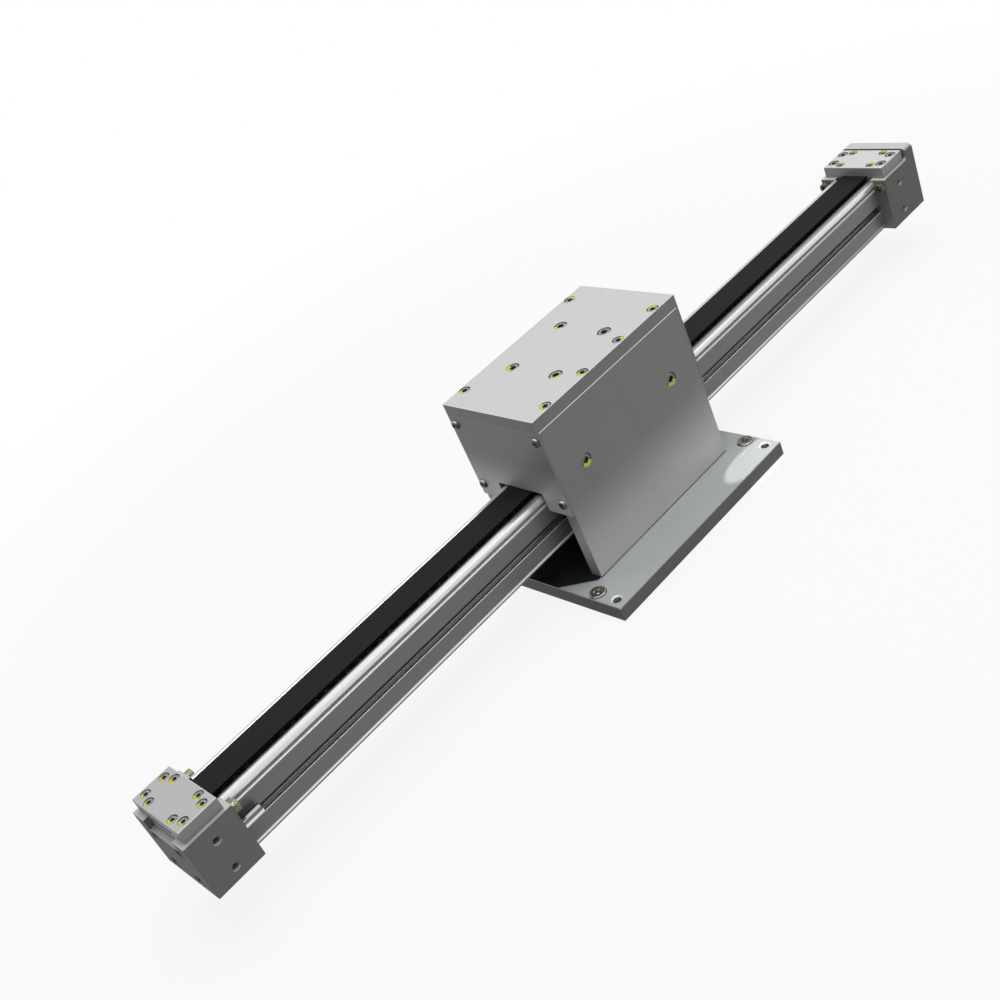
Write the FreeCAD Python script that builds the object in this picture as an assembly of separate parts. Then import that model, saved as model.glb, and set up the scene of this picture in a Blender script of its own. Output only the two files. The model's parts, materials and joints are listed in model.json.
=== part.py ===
import FreeCAD
import Part
import math
import os

from FreeCAD import Vector

# A belt-driven linear actuator of the omega kind: the carriage stands still on its base
# plate and the beam runs through it on two round guide shafts.
# Frame: millimetres, +X along the beam, +Z up, origin under the middle of the base plate.
# "near" is the -X end, "far" the +X end, "right" the -Y side and "left" the +Y side.

# Beam extrusion
beam_length = 753.0
beam_rest = -10.0          # middle of the beam from the middle of the carriage, at rest
beam_height = 38.5
beam_lift = 26.0           # beam underside above the base plate
beam_top_radius = 2.0
beam_bottom_radius = 2.4
shaft_overhang = 1.3       # beam side outside the guide shaft
pedestal_height = 1.1
pedestal_reach = 1.7       # pedestal edge outside the shaft axis
land_height = 5.5
land_bite = 2.7            # land edge inside the shaft axis
slot_centre = 20.5         # side slot above the beam underside
slot_mouth = 7.0
slot_lip = 2.2
slot_width = 12.0
slot_depth = 7.5
slot_bevel = 1.6
chamber_width = 21.0
chamber_floor = 11.5
chamber_roof = 4.5
chamber_radius = 2.5
end_bore_inset = 7.0       # end screw bores from the beam's sides
end_bore_low = 7.0
end_bore_high = 6.0

# Guide shafts and guide rollers
shaft_diameter = 8.0
shaft_seat = 0.2           # shaft underside above the beam's top face
roller_rolling_radius = 6.5
roller_gap = 0.3           # groove wall to the guide shaft
roller_rim_flat = 0.3
roller_floor_gap = 0.4
roller_bore_radius = 3.05
roller_lead = 14.0         # roller axis outside the idler axis
roller_side_room = 10.3    # side plate from the roller axis
roller_end_room = 14.0     # side plate's end from the roller axis
stud_radius = 3.0
stud_head_radius = 4.0
stud_head_height = 1.8
stud_play = 0.2
stud_collar_radius = 4.6
stud_collar_height = 3.0
stud_tip = 1.5             # stud end above its nut
nut_flats = 10.0
nut_height = 5.0

# Toothed belt
belt_width = 25.0
belt_thickness = 4.5
belt_pitch = 10.0
belt_tooth_height = 2.5
belt_tooth_tip = 5.0
belt_tooth_root = 6.8
belt_side_gap = 0.7        # belt edge to the guide shaft
belt_gap = 0.3             # belt to a turning surface

# Drive pulley and its brackets
pulley_teeth = 16
pitch_line_depth = 0.92    # pitch line outside the pulley's tip circle
pulley_groove_play = 0.3
pulley_width = 27.0
flange_thickness = 1.5
flange_rise = 3.27         # flange edge above the tip circle
flange_chamfer = 0.6
pulley_clearance = 1.5
pulley_headroom = 1.37
drive_shaft_radius = 12.5
drive_bore_radius = 7.0
drive_bore_depth = 30.0
key_width = 5.0
key_height = 2.3
bearing_radius = 18.5
bearing_width = 7.0
bracket_gap = 1.8
bracket_thickness = 12.0
bracket_margin = 15.5      # bracket edge outside its bearing
bracket_screw_inset = 6.5
bracket_shaft_gap = 1.0
bracket_foot_gap = 0.5
shaft_end_play = 3.0       # drive shaft end behind the left side plate
pilot_radius = 20.0
pilot_bolt_circle = 52.0
pilot_hole_radius = 2.75
running_fit = 0.03

# Idlers
idler_spacing = 100.0
idler_radius = 13.5
idler_width = 28.0
idler_flange_radius = 16.0
idler_flange_taper = 0.5
idler_bearing_radius = 11.0
idler_bearing_width = 6.0
idler_rib_radius = 9.0
idler_axle_radius = 5.0
idler_sleeve_radius = 7.0
axle_end_play = 0.2
axle_thread_depth = 16.0

# Roller carriers
carrier_inset = 19.0       # carrier's inner edge from the side plate
nut_wall_gap = 0.3          # stud nuts to the carrier's upright ears
carrier_gap = 0.3
carrier_end_gap = 4.0
ear_rise = 7.7
ear_lead = 12.0            # ear's inner end before the idler axis

# Carriage frame
base_thickness = 12.0
side_thickness = 10.0
top_thickness = 10.0
cover_thickness = 2.0
cover_skirt = 5.0          # cover edge below the beam's top face
notch_side_gap = 1.2
notch_top_gap = 0.75
top_screw_pitch = 40.5
top_screw_count = 4
cover_screw_top = 7.7
cover_screw_bottom = 10.4
edge_chamfer = 0.5
top_chamfer = 0.2          # small, because the edge screws' counterbores come near it

# Base plate holes
base_screw_side = 8.3      # base screws outside the side plates
base_screw_end = 12.5      # base screws beyond the box
base_end_margin = 7.5
thread_row_gap = 18.9
base_side_margin = 9.8
base_counterbore_depth = 6.5
base_thread_radius = 3.4
base_thread_chamfer = 1.0
foot_screw_pitch = 58.0
foot_screw_count = 3

# End blocks
block_length = 39.0
wing_rise = 8.5            # wings above the beam's top face
wing_reach = 4.5           # block side outside the tension screws
wall_gap = 2.2
wall_thickness = 10.7
wall_fillet = 4.5
wall_corner = 4.5
channel_margin = 3.0       # channel wall outside the inner clamp screws
block_hole_radius = 2.5
block_hole_chamfer = 0.6
block_hole_depth = 12.0
block_hole_low = 9.5
block_hole_spacing = 25.0
end_screw_grip = 32.0
end_screw_bite = 18.0
tension_gap = 1.25         # screw head to the beam's side
tension_rise = 2.5
tension_grip = 8.0
pin_radius = 4.0
pin_reach = 15.5
pin_bite = 12.0
pin_gap = 1.5
pin_centre = 25.8          # above the beam underside
pin_chamfer = 0.8

# Belt clamps
clamp_length = 30.8
clamp_inset = 2.8          # clamp plate edge inside the block's side
clamp_thickness = 10.0
clamp_edge_wall = 1.0      # metal left outside the outer screws' counterbores
clamp_screw_gap = 2.7      # inner screws outside the belt's edge
outer_screw_spacing = 15.1
inner_screw_spacing = 21.0
tooth_play = 0.15
plate_play = 0.2
belt_play = 0.3

# Fasteners: shank radius, head radius, head height
screw_m4 = (2.0, 3.5, 4.0)
screw_m5 = (2.5, 4.25, 5.0)
screw_m6 = (3.0, 5.0, 6.0)
screw_m8 = (4.0, 6.5, 8.0)
button_m4 = (2.0, 3.8, 2.2)
button_rim = 0.7
button_crown_radius = 2.2
head_play = 0.4            # counterbore outside the head
head_sink = 0.4            # head below the surface
thread_play = 0.05
top_screw_bite = 14.0
cover_screw_bite = 9.0
foot_screw_bite = 12.0
clamp_screw_bite = 11.0
inner_screw_floor = 1.0
screw_stop = 0.3           # base screw ends above the underside
screw_tip_gap = 1.0

# Tools reach past what they cut by this much, and edges are found to this accuracy
overcut = 1.0
tiny = 1e-6

# Heights worked out from the stack
beam_bottom = base_thickness + beam_lift
beam_top = beam_bottom + beam_height
shaft_radius = shaft_diameter / 2
shaft_z = beam_top + shaft_seat + shaft_radius
land_top = beam_top + land_height
belt_top = land_top + belt_thickness
belt_back = belt_thickness - belt_tooth_height
belt_root = land_top + belt_tooth_height
idler_z = belt_top + belt_gap + idler_radius
pitch_radius = pulley_teeth * belt_pitch / (2 * math.pi)
tip_radius = pitch_radius - pitch_line_depth
flange_radius = tip_radius + flange_rise
pulley_z = belt_top + pulley_clearance + flange_radius
side_top = pulley_z + flange_radius + pulley_headroom
top_face = side_top + top_thickness
wing_top = beam_top + wing_rise
clamp_top = wing_top + clamp_thickness
pin_z = beam_bottom + pin_centre
cover_bottom = beam_top - cover_skirt
notch_top = belt_top + notch_top_gap

# Widths worked out from the middle outwards
shaft_y = belt_width / 2 + belt_side_gap + shaft_radius
beam_half = shaft_y + shaft_radius + shaft_overhang
roller_y = shaft_y + shaft_radius + roller_rolling_radius
inside_half = roller_y + roller_side_room
box_half = inside_half + side_thickness
side_middle = inside_half + side_thickness / 2
carrier_wall = roller_side_room - nut_flats / 2 - nut_wall_gap
notch_half = beam_half + notch_side_gap
inner_screw_y = belt_width / 2 + clamp_screw_gap
channel_half = inner_screw_y + channel_margin
tension_y = beam_half + tension_gap + screw_m5[1]
block_half = tension_y + wing_reach
clamp_half = block_half - clamp_inset
outer_screw_y = clamp_half - clamp_edge_wall - screw_m5[1] - head_play
pin_y = beam_half + pin_gap + pin_radius
bracket_inner = pulley_width / 2 + flange_thickness + bracket_gap
bracket_outer = bracket_inner + bracket_thickness
base_screw_y = box_half + base_screw_side
base_thread_y = base_screw_y + thread_row_gap
base_half_width = base_thread_y + base_side_margin

# Lengths worked out from the middle outwards
idler_x = idler_spacing / 2
roller_x = idler_x + roller_lead
side_half = roller_x + roller_end_room
box_end = side_half + cover_thickness
base_screw_x = box_end + base_screw_end
base_half_length = base_screw_x + base_end_margin
bracket_half = bearing_radius + bracket_margin
carrier_half = side_half - carrier_end_gap
near_face = beam_rest - beam_length / 2
far_face = beam_rest + beam_length / 2
near_clamp = near_face - block_length / 2
far_clamp = far_face + block_length / 2
wall_front = far_clamp + clamp_length / 2 + wall_gap
near_end = near_face - block_length
far_end = wall_front + wall_thickness
belt_start = near_clamp - clamp_length / 2
belt_end = far_clamp + clamp_length / 2
belt_tooth_count = int((belt_end - belt_start) / belt_pitch)
first_tooth = (belt_start + belt_end - (belt_tooth_count - 1) * belt_pitch) / 2

# Heights of the roller carrier
roller_half_width = shaft_z - beam_top - roller_floor_gap
carrier_floor = shaft_z + roller_half_width + stud_collar_height
carrier_top = idler_z - idler_sleeve_radius - carrier_gap
ear_top = idler_z + ear_rise


def block(x0, x1, y0, y1, z0, z1):
    return Part.makeBox(x1 - x0, y1 - y0, z1 - z0, Vector(x0, y0, z0))


def rod_x(radius, x0, x1, y, z):
    return Part.makeCylinder(radius, x1 - x0, Vector(x0, y, z), Vector(1, 0, 0))


def rod_y(radius, y0, y1, x, z):
    return Part.makeCylinder(radius, y1 - y0, Vector(x, y0, z), Vector(0, 1, 0))


def rod_z(radius, z0, z1, x, y):
    return Part.makeCylinder(radius, z1 - z0, Vector(x, y, z0), Vector(0, 0, 1))


def cut_all(body, tools):
    return body.cut(Part.makeCompound(tools)) if tools else body


def group(solids):
    return Part.makeCompound(solids)


def face_of(points):
    return Part.Face(Part.makePolygon(points + [points[0]]))


def arc(first, middle, last):
    return Part.Arc(first, middle, last).toShape()


def line(first, last):
    return Part.LineSegment(first, last).toShape()


def ring_profile(points, axis, centre):
    """Turn a closed (radius, height) outline about an axis through centre."""
    if axis == "y":
        corners = [Vector(r, h, 0) for r, h in points]
        solid = face_of(corners).revolve(Vector(0, 0, 0), Vector(0, 1, 0), 360)
    else:
        corners = [Vector(r, 0, h) for r, h in points]
        solid = face_of(corners).revolve(Vector(0, 0, 0), Vector(0, 0, 1), 360)
    solid.translate(centre)
    return solid


def cap_screw(size, length):
    """Socket screw standing on its tip along +Z, head seat at z = 0."""
    shank, head, height = size
    body = Part.makeCylinder(shank, length, Vector(0, 0, -length))
    return body.fuse(Part.makeCylinder(head, height)).removeSplitter()


def button_screw(size, length):
    """Button-head screw standing like a socket screw, its crown a single cone."""
    shank, head, height = size
    outline = [
        (0, -length),
        (shank, -length),
        (shank, 0),
        (head, 0),
        (head, button_rim),
        (button_crown_radius, height),
        (0, height),
    ]
    return ring_profile(outline, "z", Vector(0, 0, 0))


def placed(shape, seat, direction):
    """Turn a screw made along +Z so that its head points along direction."""
    turned = shape.copy()
    turned.Placement = FreeCAD.Placement(seat, FreeCAD.Rotation(Vector(0, 0, 1), direction))
    return turned


def screw_hole(size, seat, direction, length, depth):
    """Clearance for a screw: shank hole below the seat and counterbore above it."""
    shank, head, _ = size
    hole = Part.makeCylinder(shank + thread_play, length, Vector(0, 0, -length))
    bore = Part.makeCylinder(head + head_play, depth)
    return placed(hole.fuse(bore), seat, direction)


def tapped_hole(radius, chamfer, depth, mouth, direction):
    """Tapped hole with a chamfered mouth, opening along direction."""
    hole = Part.makeCylinder(radius, depth + overcut, Vector(0, 0, -depth))
    rim = Part.makeCone(radius, radius + chamfer, chamfer, Vector(0, 0, -chamfer))
    return placed(hole.fuse(rim), mouth, direction)


def rounded_rectangle(y0, y1, z0, z1, low, high):
    """Section face in the YZ plane with its own radius at the bottom and the top."""
    s = math.sqrt(0.5)

    def corner(y, z, radius, dy, dz):
        centre_y = y - dy * radius
        centre_z = z - dz * radius
        side = Vector(0, centre_y + dy * radius, centre_z)
        end = Vector(0, centre_y, centre_z + dz * radius)
        middle = Vector(0, centre_y + dy * radius * s, centre_z + dz * radius * s)
        return side, middle, end

    right_low = corner(y1, z0, low, 1, -1)
    right_high = corner(y1, z1, high, 1, 1)
    left_high = corner(y0, z1, high, -1, 1)
    left_low = corner(y0, z0, low, -1, -1)
    edges = [
        line(left_low[2], right_low[2]),
        arc(right_low[2], right_low[1], right_low[0]),
        line(right_low[0], right_high[0]),
        arc(right_high[0], right_high[1], right_high[2]),
        line(right_high[2], left_high[2]),
        arc(left_high[2], left_high[1], left_high[0]),
        line(left_high[0], left_low[0]),
        arc(left_low[0], left_low[1], left_low[2]),
    ]
    return Part.Face(Part.Wire(edges))


def section_box(y0, y1, z0, z1):
    corners = [Vector(0, y0, z0), Vector(0, y1, z0), Vector(0, y1, z1), Vector(0, y0, z1)]
    return face_of(corners)


def section_disc(radius, y, z):
    circle = Part.Circle(Vector(0, y, z), Vector(1, 0, 0), radius)
    return Part.Face(Part.Wire([circle.toShape()]))


def slot_outline():
    """T-slot opening along +u from a face at u = 0, as (depth, across) corners."""
    mouth = slot_mouth / 2
    wide = slot_width / 2
    return [
        (-overcut, -mouth),
        (slot_lip, -mouth),
        (slot_lip, -wide),
        (slot_depth - slot_bevel, -wide),
        (slot_depth, -wide + slot_bevel),
        (slot_depth, wide - slot_bevel),
        (slot_depth - slot_bevel, wide),
        (slot_lip, wide),
        (slot_lip, mouth),
        (-overcut, mouth),
    ]


def beam_section():
    body = rounded_rectangle(
        -beam_half, beam_half, beam_bottom, beam_top, beam_bottom_radius, beam_top_radius
    )
    ledge = shaft_y + pedestal_reach
    land = shaft_y - land_bite
    body = body.fuse(section_box(-ledge, ledge, beam_top - overcut, beam_top + pedestal_height))
    body = body.fuse(section_box(-land, land, beam_top - overcut, land_top))
    body = body.removeSplitter()
    slot_z = beam_bottom + slot_centre
    right = [Vector(0, -beam_half + d, slot_z + a) for d, a in slot_outline()]
    left = [Vector(0, beam_half - d, slot_z + a) for d, a in slot_outline()]
    under = [Vector(0, a, beam_bottom + d) for d, a in slot_outline()]
    tools = [face_of(right), face_of(left), face_of(under)]
    tools.append(
        rounded_rectangle(
            -chamber_width / 2,
            chamber_width / 2,
            beam_bottom + chamber_floor,
            beam_top - chamber_roof,
            chamber_radius,
            chamber_radius,
        )
    )
    for y, z in end_screw_places():
        tools.append(section_disc(screw_m6[0] + thread_play, y, z))
    for y in (-shaft_y, shaft_y):
        tools.append(section_disc(shaft_radius, y, shaft_z))
    for tool in tools:
        body = body.cut(tool)
    return body.Faces[0]


def end_screw_places():
    low = beam_bottom + end_bore_low
    high = beam_top - end_bore_high
    y = beam_half - end_bore_inset
    return [(-y, low), (y, low), (-y, high), (y, high)]


def beam_profile():
    section = beam_section()
    section.translate(Vector(near_face, 0, 0))
    return section.extrude(Vector(beam_length, 0, 0))


def guide_shaft(y):
    return rod_x(shaft_radius, near_face, far_face, y, shaft_z)


def belt_tooth(x, play):
    """Outline of one belt tooth in the XZ plane, pointing down."""
    tip = belt_tooth_tip / 2 + play
    root = belt_tooth_root / 2 + play
    return [(x - root, belt_root), (x - tip, land_top), (x + tip, land_top), (x + root, belt_root)]


def belt_run():
    outline = [(belt_start, belt_top), (belt_start, belt_root)]
    for index in range(belt_tooth_count):
        outline.extend(belt_tooth(first_tooth + index * belt_pitch, 0))
    outline.extend([(belt_end, belt_root), (belt_end, belt_top)])
    corners = [Vector(x, -belt_width / 2, z) for x, z in outline]
    return face_of(corners).extrude(Vector(0, belt_width, 0))


def tooth_plate(centre):
    """Grooved plate under the belt's end, with one groove for each belt tooth."""
    x0 = centre - clamp_length / 2
    x1 = centre + clamp_length / 2
    half = channel_half - plate_play
    edge = belt_width / 2 + belt_play
    plate = block(x0, x1, -half, half, beam_top, wing_top)
    tools = [block(x0 - overcut, x1 + overcut, -edge, edge, belt_root, wing_top + overcut)]
    for index in range(belt_tooth_count):
        x = first_tooth + index * belt_pitch
        if x0 - belt_pitch < x < x1 + belt_pitch:
            corners = [Vector(a, -edge, z) for a, z in belt_tooth(x, tooth_play)]
            tools.append(face_of(corners).extrude(Vector(0, 2 * edge, 0)))
    floor = beam_top + inner_screw_floor
    for x, y in inner_clamp_places(centre):
        tools.append(rod_z(screw_m4[0] + thread_play, floor, wing_top + overcut, x, y))
    return cut_all(plate, tools)


def inner_clamp_places(centre):
    half = inner_screw_spacing / 2
    return [(centre + a * half, b * inner_screw_y) for a in (-1, 1) for b in (-1, 1)]


def outer_clamp_places(centre):
    half = outer_screw_spacing / 2
    return [(centre + a * half, b * outer_screw_y) for a in (-1, 1) for b in (-1, 1)]


def clamp_plate(centre, outer_size):
    x0 = centre - clamp_length / 2
    x1 = centre + clamp_length / 2
    plate = block(x0, x1, -clamp_half, clamp_half, wing_top, clamp_top)
    plate = plate.makeChamfer(edge_chamfer, [e for e in plate.Edges if is_top_edge(e, clamp_top)])
    edge = belt_width / 2 + belt_play
    tools = [block(x0 - overcut, x1 + overcut, -edge, edge, wing_top - overcut, belt_top)]
    for x, y in inner_clamp_places(centre):
        tools.append(clamp_hole(screw_m4, x, y))
    for x, y in outer_clamp_places(centre):
        tools.append(clamp_hole(outer_size, x, y))
    return cut_all(plate, tools)


def is_top_edge(edge, height):
    return all(abs(v.Z - height) < tiny for v in edge.Vertexes)


def clamp_hole(size, x, y):
    seat = Vector(x, y, clamp_top - head_sink - size[2])
    return screw_hole(size, seat, Vector(0, 0, 1), clamp_thickness, size[2] + head_sink + overcut)


def clamp_screws(centre, outer_size):
    screws = []
    for x, y in inner_clamp_places(centre):
        seat_z = clamp_top - head_sink - screw_m4[2]
        length = seat_z - beam_top - inner_screw_floor - thread_play
        seat = Vector(x, y, seat_z)
        screws.append(placed(cap_screw(screw_m4, length), seat, Vector(0, 0, 1)))
    for x, y in outer_clamp_places(centre):
        seat_z = clamp_top - head_sink - outer_size[2]
        length = seat_z - wing_top + clamp_screw_bite
        seat = Vector(x, y, seat_z)
        screws.append(placed(cap_screw(outer_size, length), seat, Vector(0, 0, 1)))
    return group(screws)


def block_side_holes(face, outward):
    """Two tapped holes in the right side of an end block; outward is -1 near and 1 far."""
    holes = []
    for rise in (block_hole_low, block_hole_low + block_hole_spacing):
        mouth = Vector(face + outward * block_length / 2, -block_half, beam_bottom + rise)
        holes.append(
            tapped_hole(
                block_hole_radius, block_hole_chamfer, block_hole_depth, mouth, Vector(0, -1, 0)
            )
        )
    return holes


def tension_places():
    z = beam_top + tension_rise
    return [(-tension_y, z), (tension_y, z)]


def block_tools(face, outward, clamp_centre, outer_size):
    tools = block_side_holes(face, outward)
    inward = Vector(-outward, 0, 0)
    reach = tension_grip + screw_tip_gap
    for y, z in tension_places():
        seat = Vector(face, y, z)
        hole = Part.makeCylinder(screw_m5[0] + thread_play, reach, Vector(0, 0, -reach))
        tools.append(placed(hole, seat, inward))
    for y, z in end_screw_places():
        seat = Vector(face + outward * end_screw_grip, y, z)
        depth = far_end - near_end
        way = Vector(outward, 0, 0)
        tools.append(screw_hole(screw_m6, seat, way, end_screw_grip + overcut, depth))
    floor = wing_top - clamp_screw_bite - screw_tip_gap
    for x, y in outer_clamp_places(clamp_centre):
        tools.append(rod_z(outer_size[0] + thread_play, floor, wing_top + overcut, x, y))
    return tools


def end_block_near():
    body = block(near_end, near_face, -block_half, block_half, beam_bottom, wing_top)
    upright = [e for e in body.Edges if is_upright(e)]
    body = body.makeChamfer(edge_chamfer, upright)
    tools = block_tools(near_face, -1, near_clamp, screw_m4)
    tools.append(channel(near_end - overcut, near_face + overcut, channel_half, beam_top, wing_top))
    bore = pin_radius + thread_play
    tools.append(rod_x(bore, near_face - pin_bite, near_face + overcut, -pin_y, pin_z))
    return cut_all(body, tools)


def channel(x0, x1, half, floor, top):
    """Tool for a channel along X, open at the top."""
    return block(x0, x1, -half, half, floor, top + overcut)


def is_upright(edge):
    first = edge.Vertexes[0].Point
    last = edge.Vertexes[-1].Point
    return abs(first.x - last.x) < tiny and abs(first.y - last.y) < tiny


def end_block_far():
    """Block whose outer wall stands up to the clamp plate's height, with a filleted foot."""
    y = -block_half
    foot = wall_front - wall_fillet
    rise = wing_top + wall_fillet
    diagonal = wall_fillet * math.sqrt(0.5)
    middle = Vector(foot + diagonal, y, rise - diagonal)
    edges = [
        line(Vector(far_face, y, beam_bottom), Vector(far_end, y, beam_bottom)),
        line(Vector(far_end, y, beam_bottom), Vector(far_end, y, clamp_top)),
        line(Vector(far_end, y, clamp_top), Vector(wall_front, y, clamp_top)),
        line(Vector(wall_front, y, clamp_top), Vector(wall_front, y, rise)),
        arc(Vector(wall_front, y, rise), middle, Vector(foot, y, wing_top)),
        line(Vector(foot, y, wing_top), Vector(far_face, y, wing_top)),
        line(Vector(far_face, y, wing_top), Vector(far_face, y, beam_bottom)),
    ]
    body = Part.Face(Part.Wire(edges)).extrude(Vector(0, 2 * block_half, 0))
    corners = [e for e in body.Edges if is_wall_corner(e)]
    body = body.makeFillet(wall_corner, corners)
    tools = block_tools(far_face, 1, far_clamp, screw_m5)
    tools.append(channel(far_face - overcut, wall_front, channel_half, beam_top, clamp_top))
    relief = clamp_half + plate_play
    tools.append(channel(far_face - overcut, wall_front, relief, wing_top, clamp_top))
    return cut_all(body, tools)


def is_wall_corner(edge):
    first = edge.Vertexes[0].Point
    last = edge.Vertexes[-1].Point
    at_top = abs(first.z - clamp_top) < tiny and abs(last.z - clamp_top) < tiny
    return at_top and abs(first.y - last.y) < tiny


def stop_pin():
    tip = near_face + pin_reach
    pin = rod_x(pin_radius, near_face - pin_bite, tip, -pin_y, pin_z)
    return pin.makeChamfer(pin_chamfer, [e for e in pin.Edges if abs(e.BoundBox.XMin - tip) < tiny])


def tension_screws():
    screws = []
    for face, outward in ((near_face, -1), (far_face, 1)):
        for y, z in tension_places():
            seat = Vector(face, y, z)
            screws.append(placed(cap_screw(screw_m5, tension_grip), seat, Vector(-outward, 0, 0)))
    return group(screws)


def end_screws(face, outward):
    screws = []
    length = end_screw_grip + end_screw_bite
    for y, z in end_screw_places():
        seat = Vector(face + outward * end_screw_grip, y, z)
        screws.append(placed(cap_screw(screw_m6, length), seat, Vector(outward, 0, 0)))
    return group(screws)


def base_plate():
    plate = block(
        -base_half_length, base_half_length, -base_half_width, base_half_width, 0, base_thickness
    )
    plate = plate.makeChamfer(edge_chamfer, plate.Edges)
    tools = []
    for x in (-base_screw_x, base_screw_x):
        for y in (-base_screw_y, base_screw_y):
            seat = Vector(x, y, base_thickness - base_counterbore_depth)
            depth = base_counterbore_depth + overcut
            tools.append(screw_hole(screw_m8, seat, Vector(0, 0, 1), base_thickness, depth))
        for y in (-base_thread_y, base_thread_y):
            mouth = Vector(x, y, base_thickness)
            depth = base_thickness + overcut
            tools.append(
                tapped_hole(base_thread_radius, base_thread_chamfer, depth, mouth, Vector(0, 0, 1))
            )
    for x, y in foot_screw_places():
        seat = Vector(x, y, screw_m5[2] + head_sink)
        depth = screw_m5[2] + head_sink + overcut
        tools.append(screw_hole(screw_m5, seat, Vector(0, 0, -1), base_thickness, depth))
    return cut_all(plate, tools)


def foot_screw_places():
    start = -foot_screw_pitch * (foot_screw_count - 1) / 2
    row = [start + index * foot_screw_pitch for index in range(foot_screw_count)]
    return [(x, y) for x in row for y in (-side_middle, side_middle)]


def foot_screws():
    length = base_thickness - screw_m5[2] - head_sink + foot_screw_bite
    screws = []
    for x, y in foot_screw_places():
        seat = Vector(x, y, screw_m5[2] + head_sink)
        screws.append(placed(cap_screw(screw_m5, length), seat, Vector(0, 0, -1)))
    return group(screws)


def base_screws():
    seat_z = base_thickness - base_counterbore_depth
    screws = []
    for x in (-base_screw_x, base_screw_x):
        for y in (-base_screw_y, base_screw_y):
            seat = Vector(x, y, seat_z)
            screws.append(placed(cap_screw(screw_m8, seat_z - screw_stop), seat, Vector(0, 0, 1)))
    return group(screws)


def side_plate(side, with_pilot):
    """Side plate on the side given by -1 (right) or 1 (left)."""
    y0 = min(side * inside_half, side * box_half)
    plate = block(-side_half, side_half, y0, y0 + side_thickness, base_thickness, side_top)
    tools = []
    outside = Vector(0, side, 0)
    for x in (-idler_x, idler_x):
        seat = Vector(x, side * (box_half - head_sink - screw_m6[2]), idler_z)
        depth = screw_m6[2] + head_sink + overcut
        tools.append(screw_hole(screw_m6, seat, outside, side_thickness, depth))
    thread = screw_m5[0] + thread_play
    low = side_top - top_screw_bite - screw_tip_gap
    high = base_thickness + foot_screw_bite + screw_tip_gap
    for x, y in top_edge_places():
        if y * side > 0:
            tools.append(rod_z(thread, low, side_top + overcut, x, y))
    for x, y in foot_screw_places():
        if y * side > 0:
            tools.append(rod_z(thread, base_thickness - overcut, high, x, y))
    middle = side * side_middle
    thread = button_m4[0] + thread_play
    inner = side_half - cover_screw_bite - screw_tip_gap
    outer = side_half + overcut
    for z in cover_screw_heights():
        tools.append(rod_x(thread, inner, outer, middle, z))
        tools.append(rod_x(thread, -outer, -inner, middle, z))
    if with_pilot:
        y1 = y0 + side_thickness
        tools.append(rod_y(pilot_radius, y0 - overcut, y1 + overcut, 0, pulley_z))
        for x, z in pilot_hole_places():
            tools.append(rod_y(pilot_hole_radius, y0 - overcut, y1 + overcut, x, z))
    return cut_all(plate, tools)


def pilot_hole_places():
    half = pilot_bolt_circle / 2 * math.sqrt(0.5)
    return [(a * half, pulley_z + b * half) for a in (-1, 1) for b in (-1, 1)]


def cover_screw_heights():
    return [side_top - cover_screw_top, cover_bottom + cover_screw_bottom]


def top_edge_places():
    """Screws into the side plates: a full row on the right, the two end ones on the left."""
    start = -top_screw_pitch * (top_screw_count - 1) / 2
    row = [start + index * top_screw_pitch for index in range(top_screw_count)]
    right = [(x, -side_middle) for x in row]
    left = [(row[0], side_middle), (row[-1], side_middle)]
    return right + left


def top_inner_places():
    x = bracket_half - bracket_screw_inset
    y = (bracket_inner + bracket_outer) / 2
    return [(a * x, b * y) for a in (-1, 1) for b in (-1, 1)]


def top_plate():
    plate = block(-box_end, box_end, -box_half, box_half, side_top, top_face)
    plate = plate.makeChamfer(top_chamfer, [e for e in plate.Edges if is_top_edge(e, top_face)])
    tools = []
    for size, places in ((screw_m5, top_edge_places()), (screw_m6, top_inner_places())):
        for x, y in places:
            seat = Vector(x, y, top_face - head_sink - size[2])
            depth = size[2] + head_sink + overcut
            tools.append(screw_hole(size, seat, Vector(0, 0, 1), top_thickness, depth))
    return cut_all(plate, tools)


def top_screws(size, places):
    seat_z = top_face - head_sink - size[2]
    length = seat_z - side_top + top_screw_bite
    screws = []
    for x, y in places:
        screws.append(placed(cap_screw(size, length), Vector(x, y, seat_z), Vector(0, 0, 1)))
    return group(screws)


def side_screws():
    screws = []
    length = side_thickness - screw_m6[2] - head_sink + axle_thread_depth - screw_tip_gap
    for x in (-idler_x, idler_x):
        for side in (-1, 1):
            seat = Vector(x, side * (box_half - head_sink - screw_m6[2]), idler_z)
            screws.append(placed(cap_screw(screw_m6, length), seat, Vector(0, side, 0)))
    return group(screws)


def end_cover(outward):
    """Thin end plate whose stepped notch lets the beam's top through."""
    x0 = min(outward * side_half, outward * box_end)
    x1 = x0 + cover_thickness
    cover = block(x0, x1, -box_half, box_half, cover_bottom, side_top)
    low = cover_bottom - overcut
    tools = [block(x0 - overcut, x1 + overcut, -notch_half, notch_half, low, notch_top)]
    for y in (-side_middle, side_middle):
        for z in cover_screw_heights():
            tools.append(rod_x(button_m4[0] + thread_play, x0 - overcut, x1 + overcut, y, z))
    return cut_all(cover, tools)


def cover_screws():
    screws = []
    length = cover_thickness + cover_screw_bite
    for outward in (-1, 1):
        for y in (-side_middle, side_middle):
            for z in cover_screw_heights():
                seat = Vector(outward * box_end, y, z)
                screws.append(placed(button_screw(button_m4, length), seat, Vector(outward, 0, 0)))
    return group(screws)


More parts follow.
